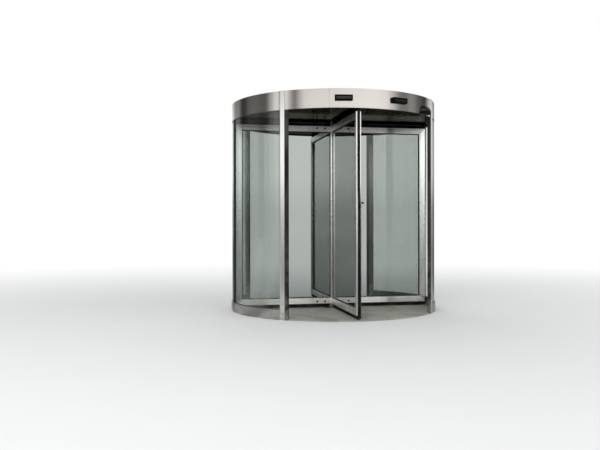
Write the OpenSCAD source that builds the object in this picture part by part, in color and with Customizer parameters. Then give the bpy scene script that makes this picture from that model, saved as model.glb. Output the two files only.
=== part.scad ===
// Four-wing revolving door with round glass side walls and a steel canopy.
// The origin is on the ground on the door's turning axis, the street side faces -Y and Z is up.
// Angles run from the street side (-Y) towards +X, seen from above.

/* [Round walls] */
// Clear height from the ground to the canopy's lower edge
passage_h = 2200; // [2000:10:2600]
// Inside radius of the round walls
drum_inner_r = 1176; // [1000:1:1600]
// Thickness of the round skirting
wall_t = 30; // [28:1:50]
// Height of the round skirting
skirting_h = 105; // [60:1:300]
// Thickness of the curved glass
curved_glass_t = 12; // [8:1:16]
// Distance from the walls' inside to the curved glass
glass_setback = 7; // [3:0.5:9]
// Height of the rubber under the curved glass
gasket_bottom_h = 6; // [3:1:20]
// Height of the rubber over the curved glass
gasket_top_h = 10; // [3:1:20]
// How far the rubber stands out on each side of the curved glass
gasket_side = 2; // [1:0.5:3]

/* [Openings and posts] */
// Angle from the middle of an opening to its rubber edge
opening_half = 43.4; // [35:0.1:50]
// Width of a rubber safety edge along the wall
safety_edge_w = 37; // [25:1:60]
// Depth of a rubber safety edge
safety_edge_d = 28; // [20:1:30]
// Width of a post
post_w = 57; // [45:1:90]
// Thickness of a post's steel cover
cover_t = 10; // [5:1:14]
// Width of the fold along the cover's side edge
cover_fold_w = 9; // [5:1:15]
// Depth of the fold along the cover's side edge
cover_fold_d = 3; // [1:0.5:4]
// How far the curved glass goes into a post or mullion
glass_rebate = 12; // [6:1:15]

/* [Facade mullions] */
// Width of a mullion at the side of the door
mullion_w = 40; // [34:1:80]

/* [Canopy] */
// Height of the canopy
canopy_h = 200; // [150:5:400]
// Distance from the walls' inside to the canopy's outer face
fascia_out = 20; // [20:0.5:24]
// Thickness of the canopy's steel sheet
fascia_t = 3; // [2:0.5:5]
// Height of the lip along the canopy's lower edge
lip_h = 10; // [6:1:16]
// How far that lip stands out from the canopy's face
lip_proud = 1.5; // [0.5:0.1:1.8]
// Depth of the flange that carries the roof sheet
flange_d = 18; // [10:1:30]
// Angle from the middle of the door to a panel joint
seam_angle = 22.2; // [18:0.1:33]
// Width of a panel joint
panel_gap = 0.6; // [0.3:0.1:0.9]
// Thickness of the ceiling sheet
ceiling_t = 4; // [2:0.5:6]
// Thickness of the roof sheet
roof_t = 3; // [2:0.5:6]
// Width of the steel ring inside the canopy
ring_w = 45; // [30:1:80]
// Height of the steel ring and beams inside the canopy
ring_h = 60; // [40:1:100]
// Width of the beams inside the canopy
beam_w = 60; // [40:1:100]
// Radius of the plate where the beams cross
hub_r = 110; // [90:1:200]

/* [Rotor] */
// Angle of the first wing at rest
rest_angle = -7.1; // [-12:0.1:12]
// Gap between moving edges and what they pass
running_gap = 5; // [5:0.5:10]
// Width of the square centre column
column_w = 60; // [50:1:80]
// Depth of the grooves that hold the glass at the column
groove_d = 8; // [5:1:12]
// Thickness of a wing's frame
wing_t = 56; // [50:1:60]
// Width of a wing's rails and stile
rail_w = 69; // [50:1:100]
// Width of the glazing bead along a frame's inner edge
bead_w = 14; // [6:0.5:20]
// How far the glazing bead lies below the frame's face
bead_step = 4; // [2:0.5:8]
// Chamfer along the frame's outer corners
frame_chamfer = 3; // [1:0.5:5]
// Depth of the groove for the glass in a rail
pocket_d = 15; // [8:1:25]
// Width of the joint line where a rail meets a stile on the mitre
mitre_gap = 0.4; // [0.2:0.1:0.8]
// Thickness of a wing's glass
wing_glass_t = 8; // [6:1:12]
// Thickness of a brush seal
brush_t = 16.4; // [8:0.2:18]
// Depth of the groove that holds a brush seal
brush_slot_d = 12; // [6:1:18]
// Height of the brush seal under a wing
brush_bottom = 40; // [20:1:60]
// Height of the brush seal over a wing
brush_top = 34; // [20:1:60]
// Width of the brush seal along a wing's outer edge
brush_side = 14; // [8:1:30]

/* [Wing fittings] */
// Length of a clamp plate
clamp_l = 198; // [100:2:300]
// Height of a clamp plate
clamp_h = 50; // [36:1:52]
// Thickness of a clamp plate
clamp_t = 3; // [2:0.5:6]
// Chamfer at the free corners of a clamp plate
clamp_chamfer = 5; // [2:1:12]
// Height of the lock above the ground
lock_z = 1225; // [900:5:1400]
// Radius of the lock's thumb knob
knob_r = 11; // [8:0.5:15]
// Length of the lock's thumb knob
knob_l = 30; // [15:1:40]
// Width of the lock's plate
lock_plate_w = 34; // [26:1:50]
// Height of the lock's plate
lock_plate_h = 110; // [60:1:160]
// Thickness of the lock's plate
lock_plate_t = 4; // [2:0.5:8]

/* [Floor and bearings] */
// Thickness of the floor plate
plate_t = 10; // [5:1:30]
// Distance from the wall's outer face to the floor plate's edge in an opening
plate_inset = 10; // [0:1:30]
// Radius of the floor bearing's round plate
bearing_plate_r = 120; // [80:1:200]
// Thickness of the floor bearing's round plate
bearing_plate_t = 3; // [2:0.5:4]
// Radius of the floor bearing's boss
boss_r = 42; // [30:1:60]
// Height of the floor bearing's boss above the floor plate
boss_h = 15; // [10:1:20]
// Radius of the lower journal
journal_r = 15; // [8:1:20]
// Radius of the upper shaft
shaft_r = 25; // [15:1:35]
// Radial play between shaft and bearing
bearing_play = 0.05; // [0.02:0.01:0.1]
// Radius of the upper bearing's housing
housing_r = 65; // [45:1:80]
// Height of the upper bearing's housing
housing_h = 100; // [70:1:130]

/* [Sensors and downlights] */
// Width of a sensor over an opening
sensor_w = 185; // [100:1:250]
// Height of a sensor over an opening
sensor_h = 58; // [40:1:80]
// Depth of a sensor over an opening
sensor_d = 35; // [20:1:60]
// Chamfer along a sensor's lower front edge
sensor_chamfer = 12; // [4:1:18]
// Height and depth of the window groove along a sensor's front
sensor_groove = 3; // [1:0.5:6]
// Distance from that groove to the sensor's top
sensor_groove_top = 8; // [7:1:14]
// Angle from the middle of the door to a sensor
sensor_angle = 15.1; // [10:0.1:17]
// Radius of the rounded sensor beside a post
dome_r = 55; // [35:1:60]
// Height of the rounded sensor below its widest line
dome_below = 29; // [15:1:34]
// Length of the rounded sensor between its round ends
dome_l = 88; // [40:1:120]
// Angle of the rounded sensor
dome_angle = 37.4; // [34:0.1:38]
// Height of the rounded sensor's foot above the canopy's lower edge
dome_foot = 12; // [12:1:40]
// Radius of a downlight's rim
downlight_r = 45; // [30:1:60]
// Depth of a downlight's can
downlight_h = 40; // [20:1:80]
// Width of a downlight's rim
downlight_rim = 6; // [3:0.5:12]
// Distance of a downlight from the turning axis
downlight_at = 875; // [400:5:950]
// Angle of a downlight
downlight_angle = 64.9; // [20:0.1:80]

/* [Hidden] */

// Clearance between pieces that are fitted into each other
fit = 0.3;
// Clearance between the round sheets and the panels around them
sheet_play = 1;
// Gap between a flat sheet and what it lies on
seat_gap = 0.05;
// How far the ends of a rounded sensor dip into the canopy's face
dome_sink = 2;
// How far a cutting shape reaches past what it cuts
cut = 1;
// Facets of the large rings and of small round pieces
ring_fn = 180;
small_fn = 48;
// Distance from the axis to the corner of a bar whose flat face lies at r and covers half either side
function corner_r(r, half) = r / cos(half);
// Angle that a length w covers on the inside of the round walls
function span(w) = w / drum_inner_r * 180 / PI;

// Radii of the round walls, from the inside out
glass_inner_r = drum_inner_r + glass_setback;
glass_outer_r = glass_inner_r + curved_glass_t;
wall_outer_r = drum_inner_r + wall_t;
fascia_r = drum_inner_r + fascia_out;
lip_r = fascia_r + lip_proud;
cover_inner_r = lip_r + fit;
cover_outer_r = cover_inner_r + cover_t;
sheet_r = fascia_r - fascia_t - sheet_play;

// Heights from the ground up
canopy_top = passage_h + canopy_h;
ceiling_z = passage_h + lip_h;
ceiling_top = ceiling_z + ceiling_t;
roof_z = canopy_top - roof_t;
glass_bottom = skirting_h + gasket_bottom_h;
glass_top = passage_h - gasket_top_h;
plate_outer_r = wall_outer_r - plate_inset;
sensor_mid_z = passage_h + canopy_h / 2;

// Half length of a rounded sensor and the distance of its own axis from the door's axis
dome_half = dome_l / 2 + dome_r;
dome_at = sqrt(pow(fascia_r - dome_sink, 2) - pow(dome_half, 2));

// Angles of a post, counted from the middle of its opening
post_start = opening_half + span(safety_edge_w);
post_end = post_start + span(post_w);
edge_end = post_start - span(fit);
rebate_angle = span(glass_rebate);
mullion_half = span(mullion_w / 2);

// The rotor's reach to its brushes' tips and to its frames' edges
brush_tip_r = drum_inner_r - running_gap;
wing_r = brush_tip_r - brush_side;
brush_low_z = plate_t + running_gap;
wing_low_z = brush_low_z + brush_bottom;
brush_high_z = ceiling_z - running_gap;
wing_high_z = brush_high_z - brush_top;
wing_start = column_w / 2;
column_low_z = plate_t + boss_h + fit;
slot_w = brush_t + 2 * fit;
clamp_start = max(wing_start, wing_t / 2 + clamp_t) + fit;
clamp_mid = frame_chamfer + clamp_h / 2;
pocket_w = wing_glass_t + 2 * fit;
wings = [0, 1, 2, 3];

// Turns what is drawn along +X to an angle counted from the street side
module at(angle) {
    rotate([0, 0, angle - 90]) children();
}

// Part of a ring between two angles
module ring_part(r_in, r_out, z, h, from, to) {
    translate([0, 0, z])
        at(from) rotate_extrude(angle = to - from, $fn = ring_fn)
            translate([r_in, 0]) square([r_out - r_in, h]);
}

// Upright bar with flat faces inside and outside and sides that point at the axis
module plan_bar(r_in, r_out, z, h, from, to) {
    half = (to - from) / 2;
    inner = corner_r(r_in, half);
    outer = corner_r(r_out, half);
    translate([0, 0, z]) at((from + to) / 2) linear_extrude(h)
        polygon([[inner * cos(half), -inner * sin(half)], [outer * cos(half), -outer * sin(half)],
            [outer * cos(half), outer * sin(half)], [inner * cos(half), inner * sin(half)]]);
}

// Round walls

module skirting(from, to) {
    color("#b9b6b0") ring_part(drum_inner_r, wall_outer_r, 0, skirting_h, from, to);
}

module curved_glass(from, to) {
    color("#9fb4ad", 0.4) ring_part(glass_inner_r, glass_outer_r, glass_bottom,
        glass_top - glass_bottom, from + span(fit), to - span(fit));
}

module gaskets(from, to) {
    r_in = glass_inner_r - gasket_side;
    r_out = glass_outer_r + gasket_side;
    ring_part(r_in, r_out, skirting_h, gasket_bottom_h, from, to);
    ring_part(r_in, min(r_out, fascia_r), glass_top, gasket_top_h, from, to);
}

// A post's cover in plan: a flat face with a fold along the side that meets the glass.
// side is 1 where the glass lies towards larger angles and -1 where it lies towards smaller ones.
module post_cover(side) {
    half = span(post_w) / 2;
    edge = cover_outer_r * tan(half);
    back = cover_inner_r * tan(half);
    linear_extrude(canopy_top) flip_y(side)
        polygon([[cover_inner_r, -back], [cover_outer_r, -edge], [cover_outer_r, edge - cover_fold_w],
            [cover_outer_r - cover_fold_d, edge - cover_fold_d / 2], [cover_inner_r, back]]);
}

// Mirrors what is drawn for the side of larger angles to the side of smaller ones
module flip_y(side) {
    if (side > 0) children();
    else mirror([0, 1, 0]) children();
}

module post(from, side) {
    to = from + side * span(post_w);
    low = min(from, to);
    high = max(from, to);
    glass_side = side > 0 ? high : low;
    pocket_from = side > 0 ? glass_side - rebate_angle : glass_side - span(cut);
    pocket_to = side > 0 ? glass_side + span(cut) : glass_side + rebate_angle;
    color("#c6c2bb") difference() {
        union() {
            plan_bar(drum_inner_r, cover_inner_r, 0, passage_h, low, high);
            at((low + high) / 2) post_cover(side);
        }
        ring_part(glass_inner_r - fit, glass_outer_r + fit, skirting_h, passage_h, pocket_from, pocket_to);
    }
}

module safety_edge(from, to) {
    plan_bar(drum_inner_r, drum_inner_r + safety_edge_d, 0, passage_h, from, to);
}

module mullion(angle) {
    from = angle - mullion_half;
    to = angle + mullion_half;
    color("#33363a") difference() {
        plan_bar(drum_inner_r, wall_outer_r, 0, passage_h, from, to);
        ring_part(glass_inner_r - fit, glass_outer_r + fit, skirting_h, passage_h,
            from - span(cut), from + rebate_angle);
        ring_part(glass_inner_r - fit, glass_outer_r + fit, skirting_h, passage_h,
            to - rebate_angle, to + span(cut));
    }
}

// Canopy

module fascia(from, to) {
    start = from + span(panel_gap) / 2;
    end = to - span(panel_gap) / 2;
    back = fascia_r - fascia_t;
    lip_top = ceiling_z - seat_gap;
    flange_top = roof_z - seat_gap;
    color("#c2beb7") at(start) rotate_extrude(angle = end - start, $fn = ring_fn)
        polygon([[drum_inner_r, passage_h], [lip_r, passage_h], [lip_r, lip_top], [fascia_r, lip_top],
            [fascia_r, canopy_top], [back, canopy_top], [back, flange_top], [back - flange_d, flange_top],
            [back - flange_d, flange_top - fascia_t], [back, flange_top - fascia_t],
            [back, lip_top], [drum_inner_r, lip_top]]);
}

module ceiling() {
    color("#3b3c3c") difference() {
        translate([0, 0, ceiling_z]) cylinder(r = sheet_r, h = ceiling_t, $fn = ring_fn);
        translate([0, 0, ceiling_z - cut])
            cylinder(r = shaft_r + running_gap, h = ceiling_t + 2 * cut, $fn = small_fn);
        for (turn = [0, 180])
            at(downlight_angle + turn) translate([downlight_at, 0, ceiling_z - cut])
                cylinder(r = downlight_r + fit, h = ceiling_t + 2 * cut, $fn = small_fn);
    }
}

module roof() {
    color("#a9a7a2") translate([0, 0, roof_z]) cylinder(r = sheet_r, h = roof_t, $fn = ring_fn);
}

// Steel ring and two crossing beams that carry the panels and the upper bearing
module canopy_frame() {
    color("#8d9092") difference() {
        translate([0, 0, ceiling_top]) union() {
            difference() {
                cylinder(r = sheet_r, h = ring_h, $fn = ring_fn);
                translate([0, 0, -cut])
                    cylinder(r = sheet_r - ring_w, h = ring_h + 2 * cut, $fn = ring_fn);
            }
            for (turn = [0, 90])
                at(turn) translate([-sheet_r + ring_w / 2, -beam_w / 2, 0])
                    cube([2 * sheet_r - ring_w, beam_w, ring_h]);
            cylinder(r = hub_r, h = ring_h, $fn = ring_fn);
        }
        translate([0, 0, ceiling_top - cut])
            cylinder(r = housing_r + fit, h = ring_h + 2 * cut, $fn = small_fn);
    }
}

module top_bearing() {
    color("#6f7275") difference() {
        translate([0, 0, ceiling_top]) cylinder(r = housing_r, h = housing_h, $fn = small_fn);
        translate([0, 0, ceiling_top - cut])
            cylinder(r = shaft_r + bearing_play, h = housing_h + 2 * cut, $fn = small_fn);
    }
}

// Sensors and downlights

// Sensor box with a chamfer and a window groove along its front. Its back follows the canopy.
module sensor(angle) {
    depth = sensor_d - sensor_groove;
    low = sensor_h - sensor_groove_top - sensor_groove;
    high = sensor_h - sensor_groove_top;
    difference() {
        at(angle) translate([0, sensor_w / 2, 0]) rotate([90, 0, 0]) linear_extrude(sensor_w)
            translate([fascia_r, sensor_mid_z - sensor_h / 2])
                polygon([[-sensor_d, 0], [sensor_d - sensor_chamfer, 0], [sensor_d, sensor_chamfer],
                    [sensor_d, low - sensor_groove], [depth, low], [depth, high],
                    [sensor_d, high + sensor_groove], [sensor_d, sensor_h], [-sensor_d, sensor_h]]);
        cylinder(r = fascia_r + fit, h = canopy_top + cut, $fn = ring_fn);
    }
}

// Rounded sensor: a lying cylinder with ball-shaped ends and a flat foot, cut to the canopy's face
module dome(angle) {
    difference() {
        at(angle) translate([dome_at, 0, passage_h + dome_foot + dome_below]) difference() {
            rotate([90, 0, 0]) rotate_extrude($fn = small_fn) intersection() {
                union() {
                    translate([0, -dome_l / 2]) square([dome_r, dome_l]);
                    for (side = [-1, 1])
                        translate([0, side * dome_l / 2]) circle(r = dome_r, $fn = small_fn);
                }
                translate([0, -dome_half - cut]) square([dome_r + cut, 2 * (dome_half + cut)]);
            }
            translate([-dome_r - cut, -dome_half - cut, -2 * dome_r - dome_below])
                cube([2 * (dome_r + cut), 2 * (dome_half + cut), 2 * dome_r]);
        }
        cylinder(r = fascia_r + fit, h = canopy_top + cut, $fn = ring_fn);
    }
}

module downlight(angle) {
    at(angle) translate([downlight_at, 0, ceiling_z]) difference() {
        cylinder(r = downlight_r, h = downlight_h, $fn = small_fn);
        translate([0, 0, -cut])
            cylinder(r = downlight_r - downlight_rim, h = downlight_h - downlight_rim + cut,
                $fn = small_fn);
    }
}

// Floor and bearings

module floor_plate() {
    half = opening_half - span(fit);
    color("#8b8a84") difference() {
        cylinder(r = plate_outer_r, h = plate_t, $fn = ring_fn);
        for (turn = [0, 180])
            ring_part(drum_inner_r - fit, plate_outer_r + cut, -cut, plate_t + 2 * cut,
                turn + half, turn + 180 - half);
        translate([0, 0, plate_t - bearing_plate_t])
            cylinder(r = bearing_plate_r + fit, h = bearing_plate_t + cut, $fn = ring_fn);
    }
}

// Bearing plate let into the floor plate, with a boss round the journal
module floor_bearing() {
    color("#a3a29d") difference() {
        translate([0, 0, plate_t - bearing_plate_t]) union() {
            cylinder(r = bearing_plate_r, h = bearing_plate_t, $fn = ring_fn);
            cylinder(r = boss_r, h = bearing_plate_t + boss_h, $fn = small_fn);
        }
        translate([0, 0, plate_t])
            cylinder(r = journal_r + bearing_play, h = boss_h + cut, $fn = small_fn);
    }
}

// Rotor

module centre_column() {
    groove_h = wing_high_z - wing_low_z - 2 * (rail_w - pocket_d);
    color("#c8c5bf") union() {
        at(rest_angle) difference() {
            translate([-column_w / 2, -column_w / 2, column_low_z])
                cube([column_w, column_w, brush_high_z - column_low_z]);
            for (n = wings)
                rotate([0, 0, 90 * n])
                    translate([column_w / 2 - groove_d, -pocket_w / 2, wing_low_z + rail_w - pocket_d])
                        cube([groove_d + cut, pocket_w, groove_h]);
        }
        translate([0, 0, plate_t + fit])
            cylinder(r = journal_r, h = boss_h + cut, $fn = small_fn);
        translate([0, 0, brush_high_z - cut])
            cylinder(r = shaft_r, h = ceiling_top + housing_h - brush_high_z + cut, $fn = small_fn);
    }
}

// A rail's section, from its brush groove to its glazing groove
module rail_section() {
    half = wing_t / 2;
    difference() {
        polygon([[0, -half + frame_chamfer], [frame_chamfer, -half], [rail_w - bead_w, -half],
            [rail_w - bead_w, -half + bead_step], [rail_w, -half + bead_step],
            [rail_w, half - bead_step], [rail_w - bead_w, half - bead_step], [rail_w - bead_w, half],
            [frame_chamfer, half], [0, half - frame_chamfer]]);
        translate([-cut, -slot_w / 2]) square([brush_slot_d + cut, slot_w]);
        translate([rail_w - pocket_d, -pocket_w / 2]) square([pocket_d + cut, pocket_w]);
    }
}

// Rail along +X from the column to the mitre at the wing's outer edge. It is drawn with its
// outer edge on z = 0 and its width upwards.
module rail() {
    length = wing_r - wing_start;
    difference() {
        translate([wing_start, 0, 0]) rotate([90, 0, 90]) linear_extrude(length) rotate([0, 0, 90])
            mirror([0, 1, 0]) rail_section();
        translate([wing_r, -wing_t, 0]) rotate([0, -45, 0])
            translate([-mitre_gap / 2, 0, -rail_w]) cube([2 * rail_w, 2 * wing_t, 3 * rail_w]);
    }
}

// Upright stile at the wing's outer edge, mitred at both ends
module stile() {
    difference() {
        translate([wing_r, 0, wing_low_z]) linear_extrude(wing_high_z - wing_low_z)
            mirror([1, 0, 0]) rail_section();
        translate([wing_r, -wing_t, wing_low_z]) rotate([0, -45, 0])
            translate([mitre_gap / 2 - 2 * rail_w, 0, -rail_w]) cube([2 * rail_w, 2 * wing_t, 3 * rail_w]);
        translate([wing_r, -wing_t, wing_high_z]) rotate([0, 45, 0])
            translate([mitre_gap / 2 - 2 * rail_w, 0, -2 * rail_w])
                cube([2 * rail_w, 2 * wing_t, 3 * rail_w]);
    }
}

module wing_frame(n) {
    color("#cfccc6") at(rest_angle + 90 * n) {
        translate([0, 0, wing_low_z]) rail();
        translate([0, 0, wing_high_z]) mirror([0, 0, 1]) rail();
        stile();
    }
}

module wing_glass(n) {
    low = wing_low_z + rail_w - pocket_d + fit;
    high = wing_high_z - rail_w + pocket_d - fit;
    start = wing_start - groove_d + fit;
    end = wing_r - rail_w + pocket_d - fit;
    color("#9fb4ad", 0.35) at(rest_angle + 90 * n)
        translate([start, -wing_glass_t / 2, low]) cube([end - start, wing_glass_t, high - low]);
}

// Brush seals under, beside and over a wing, in one C-shaped run. The lower one starts beside the
// floor bearing's boss.
module wing_brushes(n) {
    start = wing_start + fit;
    inner_x = wing_r - brush_slot_d + fit;
    inner_low = wing_low_z + brush_slot_d - fit;
    inner_high = wing_high_z - brush_slot_d + fit;
    low_start = max(start, boss_r + running_gap);
    color("#151517") at(rest_angle + 90 * n) difference() {
        translate([start, -brush_t / 2, brush_low_z])
            cube([brush_tip_r - start, brush_t, brush_high_z - brush_low_z]);
        translate([start - cut, -brush_t, inner_low])
            cube([inner_x - start + cut, 2 * brush_t, inner_high - inner_low]);
        translate([start - cut, -brush_t, brush_low_z - cut])
            cube([low_start - start + cut, 2 * brush_t, inner_low - brush_low_z + 2 * cut]);
    }
}

module clamp_plate() {
    half = clamp_h / 2;
    end = clamp_start + clamp_l;
    rotate([90, 0, 0]) linear_extrude(clamp_t)
        polygon([[clamp_start, -half], [end - clamp_chamfer, -half], [end, -half + clamp_chamfer],
            [end, half - clamp_chamfer], [end - clamp_chamfer, half], [clamp_start, half]]);
}

module clamp_plates() {
    color("#d2cfc9")
        for (n = wings) at(rest_angle + 90 * n)
            for (z = [wing_low_z + clamp_mid, wing_high_z - clamp_mid]) {
                translate([0, -wing_t / 2, z]) clamp_plate();
                translate([0, wing_t / 2 + clamp_t, z]) clamp_plate();
            }
}

module wing_1_lock() {
    color("#4a4b4d") at(rest_angle) translate([wing_r - rail_w / 2, wing_t / 2, 0]) {
        translate([-lock_plate_w / 2, 0, lock_z - lock_plate_h + lock_plate_w / 2])
            cube([lock_plate_w, lock_plate_t, lock_plate_h]);
        translate([0, lock_plate_t, lock_z]) rotate([-90, 0, 0])
            cylinder(r = knob_r, h = knob_l, $fn = small_fn);
    }
}

floor_plate();
floor_bearing();
skirting(post_end, 90 - mullion_half);  // skirting_front_right
skirting(mullion_half - 90, -post_end);  // skirting_front_left
skirting(180 + post_end, 270 - mullion_half);  // skirting_rear_left
skirting(90 + mullion_half, 180 - post_end);  // skirting_rear_right
curved_glass(post_end - rebate_angle, 90 - mullion_half + rebate_angle);  // curved_glass_front_right
curved_glass(mullion_half - rebate_angle - 90, rebate_angle - post_end);  // curved_glass_front_left
curved_glass(180 + post_end - rebate_angle, 270 - mullion_half + rebate_angle);  // curved_glass_rear_left
curved_glass(90 + mullion_half - rebate_angle, 180 - post_end + rebate_angle);  // curved_glass_rear_right
color("#1a1a1b") for (turn = [0, 180]) {  // glass_gaskets
        gaskets(turn + post_end, turn + 90 - mullion_half);
        gaskets(turn + 90 + mullion_half, turn + 180 - post_end);
    }
post(post_start, 1);  // post_front_right
post(-post_start, -1);  // post_front_left
post(180 + post_start, 1);  // post_rear_left
post(180 - post_start, -1);  // post_rear_right
color("#1d1f22") for (turn = [0, 180]) {  // safety_edges
        safety_edge(turn + opening_half, turn + edge_end);
        safety_edge(turn - edge_end, turn - opening_half);
    }
mullion(90);  // mullion_right
mullion(-90);  // mullion_left
fascia(-seam_angle, seam_angle);  // fascia_front
fascia(seam_angle, 90);  // fascia_front_right
fascia(90, 180 - seam_angle);  // fascia_rear_right
fascia(180 - seam_angle, 180 + seam_angle);  // fascia_rear
fascia(180 + seam_angle, 270);  // fascia_rear_left
fascia(-90, -seam_angle);  // fascia_front_left
ceiling();
canopy_frame();
top_bearing();
roof();
color("#17181a") for (side = [-1, 1]) sensor(side * sensor_angle);  // front_sensors
color("#17181a") for (side = [-1, 1]) sensor(180 + side * sensor_angle);  // rear_sensors
color("#141416") for (turn = [0, 180]) dome(turn + dome_angle);  // post_sensors
color("#2a2a2b") for (turn = [0, 180]) downlight(turn + downlight_angle);  // downlights
centre_column();
wing_frame(0);  // wing_1_frame
wing_glass(0);  // wing_1_glass
wing_brushes(0);  // wing_1_brushes
wing_frame(1);  // wing_2_frame
wing_glass(1);  // wing_2_glass
wing_brushes(1);  // wing_2_brushes
wing_frame(2);  // wing_3_frame
wing_glass(2);  // wing_3_glass
wing_brushes(2);  // wing_3_brushes
wing_frame(3);  // wing_4_frame
wing_glass(3);  // wing_4_glass
wing_brushes(3);  // wing_4_brushes
clamp_plates();
wing_1_lock();
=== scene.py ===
"""Looks of a four-wing revolving door, built around its packed construction.

All lengths are metres in the door's own frame: Z is up, the ground is z = 0, the door turns about
the Z axis and the street side faces -Y. Angles are degrees from the street side towards +X.
"""

from __future__ import annotations

import logging
import math
from dataclasses import dataclass, field
from enum import Enum

import bpy
import bmesh
import numpy as np
from mathutils import Matrix, Vector


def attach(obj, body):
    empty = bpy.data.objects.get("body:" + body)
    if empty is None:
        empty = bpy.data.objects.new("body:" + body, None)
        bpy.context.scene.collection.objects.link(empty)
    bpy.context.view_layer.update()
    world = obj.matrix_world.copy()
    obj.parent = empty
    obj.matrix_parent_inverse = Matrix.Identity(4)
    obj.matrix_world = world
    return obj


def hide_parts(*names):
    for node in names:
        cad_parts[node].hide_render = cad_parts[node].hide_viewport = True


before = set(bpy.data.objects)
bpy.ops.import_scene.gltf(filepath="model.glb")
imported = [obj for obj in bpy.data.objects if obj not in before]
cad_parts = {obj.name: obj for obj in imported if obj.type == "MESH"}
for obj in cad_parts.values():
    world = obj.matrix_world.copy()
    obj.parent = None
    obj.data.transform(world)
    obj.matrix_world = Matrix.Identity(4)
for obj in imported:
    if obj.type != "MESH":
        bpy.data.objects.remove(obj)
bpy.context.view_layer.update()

log = logging.getLogger("revolving_door")

Colour = tuple[float, float, float]
Place = tuple[float, float, float]
Pair = tuple[float, float]
Levels = tuple[Pair, ...]
Material = bpy.types.Material
Node = bpy.types.Node
Socket = bpy.types.NodeSocket
Value = Socket | float

QUARTERS = ("front_right", "rear_right", "rear_left", "front_left")
PANELS = ("front", "front_right", "rear_right", "rear", "rear_left", "front_left")
WINGS = range(4)

WHITE = (1.0, 1.0, 1.0, 1.0)

# Largest angle between two outlines of a ring
RING_STEP = 1.0

# Distance below which two corners of a mesh are one
SAME_PLACE = 1e-6


class Body(Enum):
    """The two bodies that pieces ride on."""

    DRUM = "drum"
    ROTOR = "rotor"


class Grain(Enum):
    """Direction of the brushing on steel, along or across the length of a piece."""

    ALONG = 0
    ACROSS = 1


@dataclass(frozen=True)
class Door:
    """Sizes that several sub-assemblies share, as in the construction.

    Args:
        passage_h: clear height of the passage.
        drum_inner_r: inner radius of the round walls.
        wall_t: thickness of the walls.
        skirting_h: height of the skirting.
        curved_glass_t: thickness of the curved glass.
        glass_setback: how far the glass stands back from the walls' inner face.
        gasket_low_h: height of the rubber under the glass.
        gasket_high_h: height of the rubber over the glass.
        gasket_side: how far the rubber stands out beside the glass.
        canopy_h: height of the canopy.
        fascia_out: how far the canopy's face stands out from the walls' inner face.
        lip_proud: how far the lip along the canopy's lower edge stands out from that face.
        lip_h: height of that lip.
        fit: gap between fitted pieces.
        opening_half: half of the angle of an opening.
        safety_edge_w: width of a rubber safety edge.
        post_w: width of a post.
        mullion_w: width of a mullion.
        plate_t: thickness of the floor plate.
        rest_angle: angle of the first wing at rest.
    """

    passage_h: float = 2.200
    drum_inner_r: float = 1.176
    wall_t: float = 0.030
    skirting_h: float = 0.105
    curved_glass_t: float = 0.012
    glass_setback: float = 0.007
    gasket_low_h: float = 0.006
    gasket_high_h: float = 0.010
    gasket_side: float = 0.002
    canopy_h: float = 0.200
    fascia_out: float = 0.020
    lip_proud: float = 0.0015
    lip_h: float = 0.010
    fit: float = 0.0003
    opening_half: float = 43.4
    safety_edge_w: float = 0.037
    post_w: float = 0.057
    mullion_w: float = 0.040
    plate_t: float = 0.010
    rest_angle: float = -7.1

    @property
    def fascia_r(self) -> float:
        """Outer radius of the canopy's sheet."""
        return self.drum_inner_r + self.fascia_out

    @property
    def lip_r(self) -> float:
        """Outer radius of the canopy's lip."""
        return self.fascia_r + self.lip_proud

    @property
    def wall_outer_r(self) -> float:
        """Outer radius of the skirting."""
        return self.drum_inner_r + self.wall_t

    @property
    def canopy_top(self) -> float:
        """Height of the canopy's top."""
        return self.passage_h + self.canopy_h

    @property
    def ceiling_z(self) -> float:
        """Height of the ceiling's underside."""
        return self.passage_h + self.lip_h

    @property
    def post_start(self) -> float:
        """Angle at which a post starts, beside its rubber edge."""
        return self.opening_half + self.span(self.safety_edge_w)

    @property
    def post_end(self) -> float:
        """Angle at which a post ends and the glass starts."""
        return self.post_start + self.span(self.post_w)

    @property
    def mullion_half(self) -> float:
        """Half of the angle that a mullion covers."""
        return self.span(self.mullion_w / 2)

    def span(self, width: float) -> float:
        """Angle in degrees that a width covers on the inside of the round walls."""
        return math.degrees(width / self.drum_inner_r)

    def wall(self, quarter: str) -> Pair:
        """First and last angle of the wall in a quarter, between its post and its mullion.

        Args:
            quarter: the quarter's name.

        Returns:
            The two angles.
        """
        low, high = self.post_end, 90 - self.mullion_half
        return {
            "front_right": (low, high),
            "rear_right": (180 - high, 180 - low),
            "rear_left": (180 + low, 180 + high),
            "front_left": (-high, -low),
        }[quarter]


DOOR = Door()


# Meshes


@dataclass
class Skin:
    """A closed surface: vertices, faces and each face corner's place in metres along the piece.

    Args:
        verts: vertices as an array of n by 3.
        faces: vertex numbers of each face.
        uvs: places of the face corners, in the order of the faces' corners, as an array of m by 2.
        slots: material slot of each face.
    """

    verts: np.ndarray
    faces: list[list[int]]
    uvs: np.ndarray
    slots: list[int]

    @staticmethod
    def join(skins: list["Skin"]) -> "Skin":
        """Puts several skins into one.

        Args:
            skins: the skins, which keep their own material slots.

        Returns:
            One skin with all their faces.
        """
        starts = np.cumsum([0] + [len(s.verts) for s in skins])
        faces = [[v + int(start) for v in f] for s, start in zip(skins, starts) for f in s.faces]
        return Skin(
            np.concatenate([s.verts for s in skins]),
            faces,
            np.concatenate([s.uvs for s in skins]),
            [slot for s in skins for slot in s.slots],
        )

    def turned(self, angle: float) -> "Skin":
        """The skin, drawn outwards along +X, turned to an angle counted from the street side."""
        return Skin(turn(self.verts, angle), self.faces, self.uvs, self.slots)


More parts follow.
